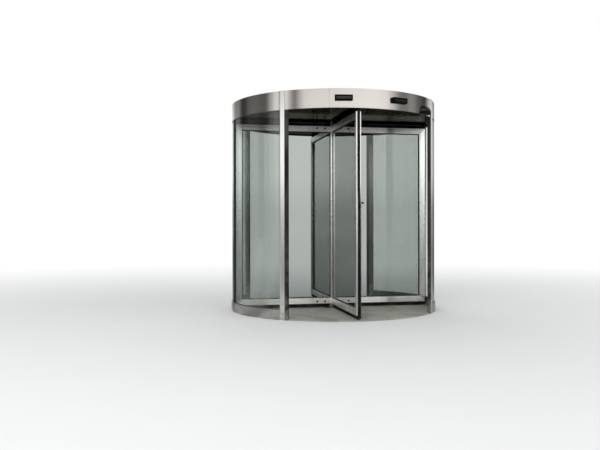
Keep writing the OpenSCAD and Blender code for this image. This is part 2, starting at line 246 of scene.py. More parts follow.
def turn(points: np.ndarray, angle: float) -> np.ndarray:
    """Turns points about the Z axis so that +X goes to an angle from the street side.

    Formula: x' = x cos t - y sin t and y' = x sin t + y cos t, with t the angle less 90 degrees.

    Args:
        points: array whose last axis is x, y, z.
        angle: degrees from -Y towards +X.

    Returns:
        The turned points.
    """
    t = math.radians(angle - 90)
    x, y, z = points[..., 0], points[..., 1], points[..., 2]
    return np.stack((x * math.cos(t) - y * math.sin(t), x * math.sin(t) + y * math.cos(t), z), -1)


def carry(sections: np.ndarray, wrap: bool = False, slot: int = 0) -> Skin:
    """Closed surface through outlines that are carried along a path.

    Formula: the point at path step i and outline step j joins its neighbours i + 1 and j + 1 in
    a four-sided face. The outline closes on itself, and so does the path if wrap is true.
    Otherwise the first and the last outline are faces too.

    Args:
        sections: array of path steps by outline points by 3.
        wrap: whether the path closes on itself.
        slot: material slot of the faces.

    Returns:
        The closed skin. Its first corner value runs along the path and its second one round it.
    """
    steps, count = sections.shape[:2]
    following = np.roll(sections, -1, 1)
    round_it = np.concatenate(([0], np.cumsum(np.linalg.norm(following - sections, axis=2)[0])))
    ahead = np.roll(sections, -1, 0) if wrap else sections[1:]
    behind = sections if wrap else sections[:-1]
    along = np.concatenate(([0], np.cumsum(np.linalg.norm((ahead - behind).mean(1), axis=1))))
    i, j = np.meshgrid(np.arange(steps if wrap else steps - 1), np.arange(count), indexing="ij")
    i2, j2 = (i + 1) % steps, (j + 1) % count
    quads = np.stack((i * count + j, i2 * count + j, i2 * count + j2, i * count + j2), -1)
    corner_i = np.stack((i, i + 1, i + 1, i), -1)
    corner_j = np.stack((j, j, j + 1, j + 1), -1)
    uvs = np.stack((along[corner_i], round_it[corner_j]), -1).reshape(-1, 2)
    faces = quads.reshape(-1, 4).tolist()
    if not wrap:
        last = (steps - 1) * count
        faces += [list(range(count)), list(range(last, last + count))]
        cap = round_it[:-1]
        ends = [np.stack((cap * 0 + place, cap), -1) for place in (0, along[-1])]
        uvs = np.concatenate([uvs] + ends)
    return Skin(sections.reshape(-1, 3), faces, uvs, [slot] * len(faces))


def upright(inner: float, outer: float, low: float, high: float) -> np.ndarray:
    """Outline of an upright rectangle, from its inner to its outer side and from foot to top."""
    return np.array([[inner, low], [outer, low], [outer, high], [inner, high]])


def ring(profile: np.ndarray, low: float, high: float) -> Skin:
    """Part of a ring with a given profile.

    Args:
        profile: outline points as (radius, height).
        low: first angle in degrees.
        high: last angle in degrees.

    Returns:
        The closed skin.
    """
    count = max(2, math.ceil(abs(high - low) / RING_STEP)) + 1
    return carry(around(profile[None], np.linspace(low, high, count)))


def around(profiles: np.ndarray, angles: np.ndarray) -> np.ndarray:
    """Outlines that stand upright round the axis.

    Formula: the profile point (r, z) at angle a lies at (r sin a, -r cos a, z).

    Args:
        profiles: one outline of (radius, height) points for all angles, or one for each.
        angles: degrees from the street side.

    Returns:
        Array of angles by outline points by 3.
    """
    a = np.radians(angles)[:, None]
    r, z = profiles[..., 0], profiles[..., 1]
    return np.stack((r * np.sin(a), -r * np.cos(a), z + 0 * a), -1)


def bar(outline: np.ndarray, low: float, high: float) -> Skin:
    """Upright bar with a given outline in plan.

    Args:
        outline: points (x, y), x outwards from the axis.
        low: height of its foot.
        high: height of its top.

    Returns:
        The closed skin, drawn along +X.
    """
    z = np.array([low, high])[:, None]
    x, y = outline.T[:, None, :]
    return carry(np.stack((x + 0 * z, y + 0 * z, z + 0 * x), -1))


def lathe(profile: np.ndarray, centre: Place, axis: str = "z", steps: int = 32, slot: int = 0) -> Skin:
    """Round piece turned about an axis.

    Formula: the profile point (r, h) at angle a lies h along the axis and r from it, at
    r cos a and r sin a on the two other axes.

    Args:
        profile: closed outline as (radius, height). Points on the axis have radius zero.
        centre: the place of radius and height zero.
        axis: the letter of the axis, with a minus sign before it to turn the piece round.
        steps: number of outlines around the axis.
        slot: material slot of the faces.

    Returns:
        The closed skin.
    """
    a = np.linspace(0, 2 * math.pi, steps, endpoint=False)[:, None]
    r, h = profile[None, :, 0], profile[None, :, 1]
    h = -h if axis.startswith("-") else h
    p, q, n = r * np.cos(a), r * np.sin(a), h + 0 * a
    order = {"x": (n, p, q), "y": (q, n, p), "z": (p, q, n)}[axis[-1]]
    return carry(np.stack(order, -1) + np.array(centre), True, slot)


def slab(low: Place, high: Place, slot: int = 0) -> Skin:
    """Rectangular block between two corners, drawn along +X and carried along its length.

    Args:
        low: its corner with the smallest x, y and z.
        high: its corner with the largest.
        slot: material slot of the faces.

    Returns:
        The closed skin.
    """
    y, z = upright(low[1], high[1], low[2], high[2]).T[:, None, :]
    x = np.array([low[0], high[0]])[:, None]
    return carry(np.stack((x + 0 * y, y + 0 * x, z + 0 * x), -1), slot=slot)


def flat_bar(inner: float, outer: float, half: float) -> np.ndarray:
    """Outline in plan of a bar with flat faces whose sides point at the axis.

    Args:
        inner: distance of the inside face from the axis.
        outer: distance of the outside face from the axis.
        half: half of the angle that it covers.

    Returns:
        Its four corners.
    """
    slope = math.tan(math.radians(half))
    return np.array([[inner, -inner * slope], [outer, -outer * slope], [outer, outer * slope],
                     [inner, inner * slope]])


class Workshop:
    """Makes Blender objects from skins and puts them on the door."""

    def __init__(self) -> None:
        """Starts with no pieces."""
        self.count = 0

    def piece(self, name: str, skin: Skin, finishes: list[Material], body: Body, slot: str,
              replaces: tuple[str, ...] = (), bevel: float = 0.0, steps: int = 2,
              sharp: float = 32.0) -> bpy.types.Object:
        """Makes one piece, which rides on a body.

        Args:
            name: the piece's name.
            skin: its surface, in the door's frame.
            finishes: one material for each material slot of the skin.
            body: the body that it moves with.
            slot: name of a material slot; not used.
            replaces: construction nodes that it stands for.
            bevel: width of the rounding on its edges, zero for none.
            steps: number of faces across a rounded edge.
            sharp: largest angle that is shaded as a smooth curve.

        Returns:
            The object.
        """
        mesh = bpy.data.meshes.new(name)
        mesh.from_pydata(skin.verts.tolist(), [], skin.faces)
        layer = mesh.uv_layers.new(name="grain")
        layer.data.foreach_set("uv", skin.uvs.astype(np.float32).ravel())
        mesh.polygons.foreach_set("material_index", np.array(skin.slots, np.int32))
        mesh.polygons.foreach_set("use_smooth", np.ones(len(skin.faces), bool))
        work = bmesh.new()
        work.from_mesh(mesh)
        bmesh.ops.remove_doubles(work, verts=work.verts, dist=SAME_PLACE)
        bmesh.ops.recalc_face_normals(work, faces=work.faces)
        work.to_mesh(mesh)
        work.free()
        mesh.set_sharp_from_angle(angle=math.radians(sharp))
        for finish in finishes:
            mesh.materials.append(finish)
        made = bpy.data.objects.new(name, mesh)
        bpy.context.scene.collection.objects.link(made)
        if bevel:
            rounding = made.modifiers.new("rounded edges", "BEVEL")
            rounding.width, rounding.segments = bevel, steps
            rounding.limit_method, rounding.angle_limit = "ANGLE", math.radians(sharp)
            rounding.harden_normals = True
        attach(made, body.value)
        if replaces:
            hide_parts(*replaces)
        self.count += 1
        log.info("%s: %d faces on %s", name, len(skin.faces), body.value)
        return made

    def dress(self, node: str, finish: Material) -> None:
        """Gives a construction node, which stays as it is, a finish.

        Args:
            node: the node's name.
            finish: its material.
        """
        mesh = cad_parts[node].data
        mesh.materials.clear()
        mesh.materials.append(finish)
        log.info("%s: dressed", node)


# Materials


class Graph:
    """Small helper that adds shader nodes to a node tree."""

    def __init__(self, tree: bpy.types.NodeTree) -> None:
        """Works on one node tree."""
        self.tree = tree

    def fill(self, node: Node, inputs: dict) -> None:
        """Sets or links some of a node's inputs.

        Args:
            node: the node.
            inputs: input names or numbers with either a value or an output socket to link.
        """
        for key, value in inputs.items():
            if isinstance(value, Socket):
                self.tree.links.new(value, node.inputs[key])
            else:
                node.inputs[key].default_value = value

    def add(self, kind: str, inputs: dict | None = None, **settings: object) -> Node:
        """Adds a node.

        Args:
            kind: the node's type name without the words ShaderNode.
            inputs: input names or numbers with either a value or an output socket to link.
            settings: properties of the node.

        Returns:
            The node.
        """
        made = self.tree.nodes.new(kind if kind.startswith("Node") else "ShaderNode" + kind)
        for key, value in settings.items():
            setattr(made, key, value)
        self.fill(made, inputs or {})
        return made

    def math(self, operation: str, a: Value, b: Value = 0.0, clamp: bool = False) -> Socket:
        """Result of a sum on two values or sockets."""
        return self.add("Math", {0: a, 1: b}, operation=operation, use_clamp=clamp).outputs[0]

    def remap(self, value: Socket, low: float, high: float, to_low: float = 0.0,
              to_high: float = 1.0) -> Socket:
        """Value moved smoothly from one range to another, and kept within that."""
        made = self.add("MapRange", {"Value": value, "From Min": low, "From Max": high,
                                     "To Min": to_low, "To Max": to_high}, interpolation_type="SMOOTHSTEP")
        return made.outputs["Result"]

    def noise(self, place: Socket, scale: float, detail: float, rough: float = 0.5,
              warp: float = 0.0) -> Socket:
        """Cloudy noise at a place."""
        return self.add("TexNoise", {"Vector": place, "Scale": scale, "Detail": detail,
                                     "Roughness": rough, "Distortion": warp}).outputs[0]

    def mix(self, factor: Value, a: object, b: object) -> Socket:
        """Colour between two colours."""
        return self.add("Mix", {0: factor, 6: a, 7: b}, data_type="RGBA").outputs[2]


def rgb(colour: Colour) -> tuple[float, float, float, float]:
    """A colour with full opacity."""
    return (*colour, 1.0)


def shaded(colour: Colour, share: float) -> tuple[float, float, float, float]:
    """A colour that is darker or lighter by a share, with full opacity."""
    return rgb(tuple(c * share for c in colour))


class Effects:
    """Shader node groups that several finishes share."""

    def __init__(self) -> None:
        """Builds each group once."""
        self.grain = self._grain()
        self.soil = self._soil()
        self.smears = self._smears()

    @staticmethod
    def _group(name: str, inputs: dict[str, tuple[str, object]], outputs: dict[str, str]) -> tuple:
        """Starts a group with named sockets.

        Args:
            name: the group's name.
            inputs: socket kind and first value by name.
            outputs: socket kind by name.

        Returns:
            The group's graph helper, the outputs of its input node and its output node.
        """
        tree = bpy.data.node_groups.new(name, "ShaderNodeTree")
        for label, (kind, value) in inputs.items():
            socket = tree.interface.new_socket(label, in_out="INPUT", socket_type="NodeSocket" + kind)
            if value is not None:
                socket.default_value = value
        for label, kind in outputs.items():
            tree.interface.new_socket(label, in_out="OUTPUT", socket_type="NodeSocket" + kind)
        graph = Graph(tree)
        return graph, graph.add("NodeGroupInput").outputs, graph.add("NodeGroupOutput")

    def _grain(self) -> bpy.types.NodeTree:
        """Long fine scratches along one direction, as brushed steel has them.

        Returns:
            The group.
        """
        g, given, out = self._group(
            "brushed grain",
            {"Vector": ("Vector", None), "Along": ("Float", 2.0), "Across": ("Float", 900.0)},
            {"Streaks": "Float", "Cloud": "Float"},
        )
        split = g.add("SeparateXYZ", {0: given["Vector"]})
        u = g.math("MULTIPLY", split.outputs[0], given["Along"])
        v = g.math("MULTIPLY", split.outputs[1], given["Across"])
        fine = g.noise(g.add("CombineXYZ", {0: u, 1: v}).outputs[0], 1.0, 3.0, 0.6)
        broad_v = g.math("MULTIPLY", v, 0.06)
        broad = g.noise(g.add("CombineXYZ", {0: u, 1: broad_v}).outputs[0], 1.0, 4.0, 0.55)
        both = g.math("ADD", g.math("MULTIPLY", fine, 0.6), g.math("MULTIPLY", broad, 0.4))
        g.fill(out, {"Streaks": both, "Cloud": g.noise(given["Vector"], 3.5, 5.0)})
        return g.tree

    def _soil(self) -> bpy.types.NodeTree:
        """Dust and splashes that thin out upwards from a height.

        Returns:
            The group.
        """
        g, given, out = self._group(
            "soiling",
            {"Vector": ("Vector", None), "Height": ("Float", 0.4), "Amount": ("Float", 0.6)},
            {"Mask": "Float", "Specks": "Float"},
        )
        split = g.add("SeparateXYZ", {0: given["Vector"]})
        share = g.math("DIVIDE", split.outputs[2], given["Height"])
        fade = g.math("SUBTRACT", 1.0, share, True)
        patch = g.remap(g.noise(given["Vector"], 9.0, 8.0, 0.65), 0.35, 0.7)
        thick = g.math("MULTIPLY", g.math("POWER", fade, 1.6), patch)
        dots = g.add("TexVoronoi", {"Vector": given["Vector"], "Scale": 140.0})
        small = g.math("MULTIPLY", g.math("LESS_THAN", dots.outputs["Distance"], 0.16), fade)
        g.fill(out, {"Mask": g.math("MULTIPLY", thick, given["Amount"], True),
                     "Specks": g.math("MULTIPLY", small, given["Amount"], True)})
        return g.tree

    def _smears(self) -> bpy.types.NodeTree:
        """Wiping marks and hand marks at the height of a hand.

        Returns:
            The group.
        """
        g, given, out = self._group(
            "smears",
            {"Vector": ("Vector", None), "Level": ("Float", 1.15), "Reach": ("Float", 0.35)},
            {"Wiped": "Float", "Touched": "Float"},
        )
        stretched = g.add("Mapping", {"Vector": given["Vector"], "Scale": (2.2, 2.2, 0.7),
                                      "Rotation": (0.35, 0.2, 0.0)})
        wipe = g.noise(stretched.outputs[0], 2.4, 7.0, warp=0.8)
        z = g.add("SeparateXYZ", {0: given["Vector"]}).outputs[2]
        off = g.math("ABSOLUTE", g.math("SUBTRACT", z, given["Level"]))
        near = g.math("SUBTRACT", 1.0, g.math("DIVIDE", off, given["Reach"]), True)
        blot = g.remap(g.noise(given["Vector"], 24.0, 5.0), 0.45, 0.62)
        g.fill(out, {"Wiped": g.remap(wipe, 0.4, 0.75), "Touched": g.math("MULTIPLY", blot, near, True)})
        return g.tree


EFFECTS = Effects()


def new_material(name: str) -> tuple[Material, Graph, Node, Node]:
    """Starts a material with one Principled shader.

    Args:
        name: the material's name.

    Returns:
        The material, its graph helper, the shader and the output node.
    """
    made = bpy.data.materials.new(name)
    made.use_nodes = True
    made.node_tree.nodes.clear()
    g = Graph(made.node_tree)
    shader = g.add("BsdfPrincipled")
    out = g.add("OutputMaterial", {"Surface": shader.outputs[0]})
    return made, g, shader, out


def marks(g: Graph, place: Socket, height: float, amount: float) -> tuple:
    """Adds the groups for dirt and smears to a material.

    Args:
        g: graph helper of the material.
        place: place in the door's frame.
        height: height up to which dirt clings.
        amount: how much dirt there is.

    Returns:
        The outputs of the dirt and those of the smears.
    """
    soil = g.add("Group", node_tree=EFFECTS.soil)
    g.fill(soil, {"Vector": place, "Height": height, "Amount": amount})
    smears = g.add("Group", node_tree=EFFECTS.smears)
    g.fill(smears, {"Vector": place})
    return soil.outputs, smears.outputs


@dataclass(frozen=True)
class BrushedSteel:
    """Stainless steel with a fine grain, hand marks and dirt at its foot.

    Args:
        name: the material's name.
        colour: the clean metal's colour.
        roughness: how rough the clean metal is.
        grain: whether the brushing runs along or across the pieces' length.
        soil_height: height up to which dirt clings to it.
        soil: how much dirt there is.
        tone: how much the colour varies along the grain.
        cloud: how much of it is faintly warmer in soft patches.
        spread: how much wider reflections smear across the grain than along it.
        warmth: share of red, green and blue that the warmer patches keep.
        dirt: colour of the dirt.
    """

    name: str
    colour: Colour = (0.70, 0.68, 0.65)
    roughness: float = 0.26
    grain: Grain = Grain.ALONG
    soil_height: float = 0.5
    soil: float = 0.5
    tone: float = 0.12
    cloud: float = 0.16
    spread: float = 0.75
    warmth: Colour = (0.93, 0.88, 0.80)
    dirt: Colour = (0.20, 0.185, 0.155)

    def make(self) -> Material:
        """Builds the material.

        Returns:
            The material.
        """
        made, g, shader, _ = new_material(self.name)
        place = g.add("TexCoord").outputs["Object"]
        length = g.add("UVMap", uv_map="grain").outputs[0]
        if self.grain is Grain.ACROSS:
            length = g.add("Mapping", {"Vector": length, "Rotation": (0, 0, math.pi / 2)}).outputs[0]
        grain = g.add("Group", node_tree=EFFECTS.grain)
        g.fill(grain, {"Vector": length})
        streaks = grain.outputs["Streaks"]
        soil, smears = marks(g, place, self.soil_height, self.soil)
        light = tuple(min(1.0, c * (1 + self.tone * 0.6)) for c in self.colour)
        metal = g.mix(g.remap(streaks, 0.3, 0.7), shaded(self.colour, 1 - self.tone), rgb(light))
        warmer = rgb(tuple(c * f for c, f in zip(self.colour, self.warmth)))
        warmed = g.mix(g.remap(grain.outputs["Cloud"], 0.45, 0.8, 0.0, self.cloud), metal, warmer)
        dirt = g.math("ADD", soil["Mask"], g.math("MULTIPLY", soil["Specks"], 0.5), True)
        rough = g.remap(streaks, 0.25, 0.75, self.roughness - 0.03, self.roughness + 0.05)
        rough = g.math("ADD", rough, g.math("MULTIPLY", smears["Wiped"], 0.012))
        rough = g.math("ADD", rough, g.math("MULTIPLY", smears["Touched"], 0.025))
        bump = g.add("Bump", {"Strength": 0.05, "Distance": 0.0001, "Height": streaks})
        tangent = g.add("Tangent", direction_type="UV_MAP", uv_map="grain")
        g.fill(shader, {
            "Base Color": g.mix(dirt, warmed, rgb(self.dirt)),
            "Roughness": g.math("ADD", rough, g.math("MULTIPLY", dirt, 0.4), True),
            "Metallic": g.math("SUBTRACT", 1.0, g.math("MULTIPLY", dirt, 0.85), True),
            "Normal": bump.outputs[0],
            "Anisotropic": self.spread,
            "Anisotropic Rotation": 0.25,
            "Tangent": tangent.outputs[0],
        })
        return made


@dataclass(frozen=True)
class ClearGlass:
    """Clear safety glass with a green-grey tint, thin smears and splashes at its foot.

    Args:
        name: the material's name.
        tint: share of each colour that a pane lets through.
        soil_height: height up to which splashes cling to it.
        soil: how many splashes there are.
        film: share of the tint that is left under a film of dust.
        shadow: share of the light that its shadow keeps beside the tint.
    """

    name: str
    tint: Colour = (0.80, 0.87, 0.84)
    soil_height: float = 0.5
    soil: float = 0.5
    film: float = 0.86
    shadow: float = 0.96

    def make(self) -> Material:
        """Builds the material. Its shadow lets the light through, as thin glass does.

        Returns:
            The material.
        """
        made, g, shader, out = new_material(self.name)
        place = g.add("TexCoord").outputs["Object"]
        soil, smears = marks(g, place, self.soil_height, self.soil)
        film = g.math("ADD", g.math("MULTIPLY", soil["Mask"], 0.35),
                      g.math("MULTIPLY", smears["Touched"], 0.12), True)
        g.fill(shader, {
            "Base Color": g.mix(film, rgb(self.tint), shaded(self.tint, self.film)),
            "Roughness": g.math("ADD", g.math("MULTIPLY", film, 0.22),
                                g.math("MULTIPLY", smears["Wiped"], 0.012)),
            "Metallic": 0.0,
            "Transmission Weight": 1.0,
            "IOR": 1.5,
        })
        through = rgb(tuple(math.sqrt(c) * self.shadow for c in self.tint))
        clear = g.add("BsdfTransparent", {"Color": through})
        shaded_ray = g.add("LightPath").outputs["Is Shadow Ray"]
        mixed = g.add("MixShader", {0: shaded_ray, 1: shader.outputs[0], 2: clear.outputs[0]})
        g.fill(out, {"Surface": mixed.outputs[0]})
        return made


@dataclass(frozen=True)
class DullSurface:
    """Rubber, bristle, plastic or painted metal: a plain body colour with texture and dust.

    Args:
        name: the material's name.
        colour: its clean colour.
        roughness: how rough it is.
        dust_colour: the colour of the dust on it.
        dust: how much dust there is.
        soil_height: height up to which the dust is thick.
        relief: scale of its fine surface texture per metre.
        depth: depth of that texture.
        metallic: 1 for bare metal.
        coat: share of a clear gloss layer.
        shine: strength of the body's own reflection.
    """

    name: str
    colour: Colour
    roughness: float = 0.6
    dust_colour: Colour = (0.26, 0.25, 0.22)
    dust: float = 0.4
    soil_height: float = 0.8
    relief: float = 700.0
    depth: float = 0.0002
    metallic: float = 0.0
    coat: float = 0.0
    shine: float = 0.5

    def make(self) -> Material:
        """Builds the material.

        Returns:
            The material.
        """
        made, g, shader, _ = new_material(self.name)
        place = g.add("TexCoord").outputs["Object"]
        soil, smears = marks(g, place, self.soil_height, self.dust)
        wiped = g.math("MULTIPLY", smears["Wiped"], self.dust * 0.25)
        film = g.math("ADD", soil["Mask"], wiped, True)
        film = g.math("ADD", film, g.math("MULTIPLY", soil["Specks"], 0.5), True)
        fine = g.noise(place, self.relief, 4.0)
        base = g.mix(g.remap(fine, 0.3, 0.7), shaded(self.colour, 0.82), shaded(self.colour, 1.15))
        rough = g.remap(fine, 0.2, 0.8, self.roughness - 0.06, self.roughness + 0.06)
        bump = g.add("Bump", {"Strength": 0.35, "Distance": self.depth, "Height": fine})
        g.fill(shader, {
            "Base Color": g.mix(film, base, rgb(self.dust_colour)),
            "Roughness": g.math("ADD", rough, g.math("MULTIPLY", film, 0.25), True),
            "Metallic": self.metallic,
            "Specular IOR Level": self.shine,
            "Coat Weight": self.coat,
            "Coat Roughness": 0.08,
            "Normal": bump.outputs[0],
        })
        return made


@dataclass(frozen=True)
class DarkMirror:
    """Dark polished ceiling sheet that mirrors what is under it, with dust and faint waves.

    Args:
        name: the material's name.
        colour: its clean colour.
        dust: colour of the dust on it.
        glance: tint of what it mirrors at a flat angle.
    """

    name: str
    colour: Colour = (0.062, 0.061, 0.050)
    dust: Colour = (0.10, 0.096, 0.084)
    glance: Colour = (0.36, 0.35, 0.31)

    def make(self) -> Material:
        """Builds the material.

        Returns:
            The material.
        """
        made, g, shader, _ = new_material(self.name)
        place = g.add("TexCoord").outputs["Object"]
        wave, dust = g.noise(place, 1.6, 1.0), g.noise(place, 60.0, 6.0)
        bump = g.add("Bump", {"Strength": 0.3, "Distance": 0.001, "Height": wave})
        g.fill(shader, {
            "Base Color": g.mix(g.remap(dust, 0.5, 0.85, 0.0, 0.12), rgb(self.colour), rgb(self.dust)),
            "Roughness": g.remap(dust, 0.3, 0.8, 0.06, 0.11),
            "Metallic": 1.0,
            "Specular Tint": rgb(self.glance),
            "Normal": bump.outputs[0],
        })
        return made


@dataclass(frozen=True)
class WornFloor:
    """Grey floor covering with fine grit, rings that the brushes rubbed, and dried dirt.

    Args:
        name: the material's name.
        colour: its own colour.
        dried: colour of dried dirt.
        blots: colour of the darkest blots.
        rubbed: colour of the rings.
    """

    name: str
    colour: Colour = (0.345, 0.34, 0.30)
    dried: Colour = (0.175, 0.165, 0.135)
    blots: Colour = (0.11, 0.105, 0.09)
    rubbed: Colour = (0.37, 0.365, 0.335)

    def make(self) -> Material:
        """Builds the material. The rings are waves of the distance from the turning axis.

        Returns:
            The material.
        """
        made, g, shader, _ = new_material(self.name)
        place = g.add("TexCoord").outputs["Object"]
        split = g.add("SeparateXYZ", {0: place})
        flat = g.add("CombineXYZ", {0: split.outputs[0], 1: split.outputs[1]}).outputs[0]
        radius = g.add("VectorMath", {0: flat}, operation="LENGTH").outputs["Value"]
        grit, blot = g.noise(place, 260.0, 6.0, 0.7), g.noise(place, 11.0, 6.0, 0.7)
        stain = g.noise(place, 2.6, 9.0, 0.6, 0.6)
        wobble = g.math("ADD", g.math("MULTIPLY", radius, 38.0), g.math("MULTIPLY", stain, 1.5))
        rings = g.add("TexNoise", {"W": wobble, "Scale": 1.0, "Detail": 5.0}, noise_dimensions="1D")
        base = g.mix(g.remap(grit, 0.3, 0.7), shaded(self.colour, 0.85), shaded(self.colour, 1.14))
        dirty = g.mix(g.remap(stain, 0.42, 0.68, 0.0, 0.6), base, rgb(self.dried))
        blotted = g.mix(g.remap(blot, 0.62, 0.74, 0.0, 0.55), dirty, rgb(self.blots))
        bump = g.add("Bump", {"Strength": 0.5, "Distance": 0.0006, "Height": grit})
        g.fill(shader, {
            "Base Color": g.mix(g.remap(rings.outputs[0], 0.5, 0.75, 0.0, 0.32), blotted, rgb(self.rubbed)),
            "Roughness": g.remap(stain, 0.3, 0.7, 0.62, 0.86),
            "Normal": bump.outputs[0],
        })
        return made


class Finishes:
    """All finishes of the door, made once."""

    def __init__(self) -> None:
        """Builds each material."""
        self.canopy = BrushedSteel("canopy steel", (0.68, 0.65, 0.605), 0.17, soil_height=0.01, soil=0.0,
                                   tone=0.05, cloud=0.08).make()
        self.skirting = BrushedSteel("skirting steel", (0.56, 0.55, 0.515), 0.30, soil_height=0.14,
                                     soil=1.0, tone=0.2).make()
        self.post = BrushedSteel("post steel", (0.94, 0.93, 0.905), 0.18, soil_height=0.45, soil=0.85,
                                 tone=0.05, cloud=0.08).make()
        self.wing = BrushedSteel("wing steel", (0.92, 0.915, 0.885), 0.25, soil_height=0.2, soil=0.12,
                                 tone=0.05, cloud=0.06, spread=0.93).make()
        self.plate = BrushedSteel("plate steel", (0.95, 0.94, 0.92), 0.26, Grain.ACROSS, soil_height=0.2,
                                  soil=0.15, tone=0.06, cloud=0.06).make()
        self.bearing = DullSurface("bearing steel", (0.36, 0.355, 0.33), 0.38, dust=0.8, metallic=1.0).make()
        self.curved_glass = ClearGlass("curved glass", (0.80, 0.84, 0.815)).make()
        # Painted shade: the wing glass's tint is made darker than clear glass of its kind, standing in for a
        # dark room seen through the wings.
        self.wing_glass = ClearGlass("wing glass", (0.42, 0.45, 0.43)).make()
        self.rubber = DullSurface("black rubber", (0.022, 0.023, 0.026), 0.62, dust=0.35).make()
        self.edge_rubber = DullSurface("safety edge rubber", (0.013, 0.014, 0.017), 0.55, dust=0.8,
                                       soil_height=1.05, shine=0.08).make()
        # Painted shade as well as its own black: the bristle colour is darker than black nylon and its shine
        # low, so lit sides stay as black as the shade round the brushes.
        self.brush = DullSurface("black bristle", (0.004, 0.004, 0.0045), 0.85, dust=0.2, soil_height=0.1,
                                 relief=1500.0, shine=0.12).make()
        self.anodised = DullSurface("dark anodised aluminium", (0.045, 0.048, 0.052), 0.36, dust=0.4,
                                    metallic=1.0, relief=1200.0, depth=0.00005).make()
        self.sensor = DullSurface("sensor housing", (0.0035, 0.004, 0.0045), 0.42, dust=0.02, soil_height=3.0,
                                  relief=1600.0, depth=0.00004, shine=0.04).make()
        self.window = DullSurface("sensor window", (0.004, 0.003, 0.0045), 0.12, dust=0.03, soil_height=3.0,
                                  relief=50.0, depth=0.00001, coat=0.4, shine=0.3).make()
        self.bolt = DullSurface("blackened bolt", (0.010, 0.010, 0.010), 0.5, dust=0.1, shine=0.2).make()
        self.lock = DullSurface("dark lock metal", (0.075, 0.068, 0.058), 0.35, dust=0.25,
                                metallic=1.0).make()
        self.ceiling = DarkMirror("dark ceiling sheet").make()
        self.roof = DullSurface("galvanised roof sheet", (0.42, 0.42, 0.41), 0.5, dust=0.9, soil_height=20.0,
                                relief=45.0, metallic=0.6).make()
        self.primer = DullSurface("grey primer", (0.28, 0.29, 0.29), 0.6, dust=0.3).make()
        self.floor = WornFloor("worn floor covering").make()


# Outlines of small round parts as (radius, height), with the face that they sit on at height zero

ROOF_SCREW = np.array([[0.0, -0.0005], [0.004, -0.0005], [0.004, 0.0], [0.0, 0.0]])
PLATE_SCREW = np.array([[0.0, -0.001], [0.006, -0.001], [0.005, 0.0007], [0.002, 0.0007],
                        [0.002, 0.0001], [0.0, 0.0001]])
RAIL_SCREW = np.array([[0.0, 0.0], [0.0045, 0.0], [0.0036, 0.0012], [0.0016, 0.0012],
                       [0.0016, 0.0004], [0.0, 0.0004]])
SOCKET_BOLT = np.array([[0.0, 0.0], [0.0115, 0.0], [0.0115, 0.0006], [0.0103, 0.0018],
                        [0.00552, 0.0018], [0.00506, 0.0003], [0.0, 0.0003]])
SENSOR_EYE = np.array([[0.0, 0.0], [0.010, 0.0], [0.0088, 0.0012], [0.0, 0.0016]])
THUMB_KNOB = np.array([[0.0, 0.0], [0.013, 0.0], [0.013, 0.003], [0.0085, 0.005], [0.0085, 0.018],
                       [0.011, 0.021], [0.011, 0.028], [0.009, 0.030], [0.0, 0.030]])
KEYHOLE = np.array([[0.0, 0.0], [0.0085, 0.0], [0.0085, 0.0035], [0.0075, 0.0045], [0.002, 0.0045],
                    [0.002, 0.001], [0.0, 0.001]])


# Sub-assemblies


@dataclass
class Assembly:
    """One sub-assembly of the door. Its other fields are its sizes.

    Args:
        shop: makes the pieces.
        finish: the door's finishes.
    """

    shop: Workshop
    finish: Finishes


@dataclass
class RoundWalls(Assembly):
    """Curved glass on a round skirting, with rubber under and over the glass.

    Args:
        rebate: how far a pane reaches into its post and its mullion.
        skirting_bevel: rounding of the skirting's edges.
        seal_bevel: rounding of the rubber's edges.
        edge_bevel: rounding of the glass panes' edges.
    """

    rebate: float = 0.012
    skirting_bevel: float = 0.0018
    seal_bevel: float = 0.0008
    edge_bevel: float = 0.0006

    def build(self) -> None:
        """Builds the four quarters of the wall."""
        for quarter in QUARTERS:
            self._skirting(quarter)
            self._pane(quarter)
        self._seals()

    def _skirting(self, quarter: str) -> None:
        """One curved length of skirting with rounded edges.

        Args:
            quarter: the quarter's name.
        """
        outline = upright(DOOR.drum_inner_r, DOOR.wall_outer_r, 0.0, DOOR.skirting_h)
        self.shop.piece(f"round_skirting_{quarter}", ring(outline, *DOOR.wall(quarter)),
                        [self.finish.skirting], Body.DRUM, "brushed_steel", (f"skirting_{quarter}",),
                        self.skirting_bevel)

    def _pane(self, quarter: str) -> None:
        """One curved pane that reaches into its post and its mullion.

        Args:
            quarter: the quarter's name.
        """
        low, high = DOOR.wall(quarter)
        rebate = DOOR.span(self.rebate) - DOOR.span(DOOR.fit)
        inner = DOOR.drum_inner_r + DOOR.glass_setback
        outline = upright(inner, inner + DOOR.curved_glass_t, DOOR.skirting_h + DOOR.gasket_low_h,
                          DOOR.passage_h - DOOR.gasket_high_h)
        self.shop.piece(f"curved_pane_{quarter}", ring(outline, low - rebate, high + rebate),
                        [self.finish.curved_glass], Body.DRUM, "curved_glass",
                        (f"curved_glass_{quarter}",), self.edge_bevel, 1)

    def _seals(self) -> None:
        """Black rubber under and over each pane."""
        inner = DOOR.drum_inner_r + DOOR.glass_setback - DOOR.gasket_side
        outer = min(DOOR.fascia_r, inner + DOOR.curved_glass_t + 2 * DOOR.gasket_side)
        strips = ((DOOR.skirting_h, DOOR.gasket_low_h),
                  (DOOR.passage_h - DOOR.gasket_high_h, DOOR.gasket_high_h))
        skins = [ring(upright(inner, outer, bottom, bottom + height), *DOOR.wall(quarter))
                 for quarter in QUARTERS for bottom, height in strips]
        self.shop.piece("pane_seals", Skin.join(skins), [self.finish.rubber], Body.DRUM, "rubber",
                        ("glass_gaskets",), self.seal_bevel)


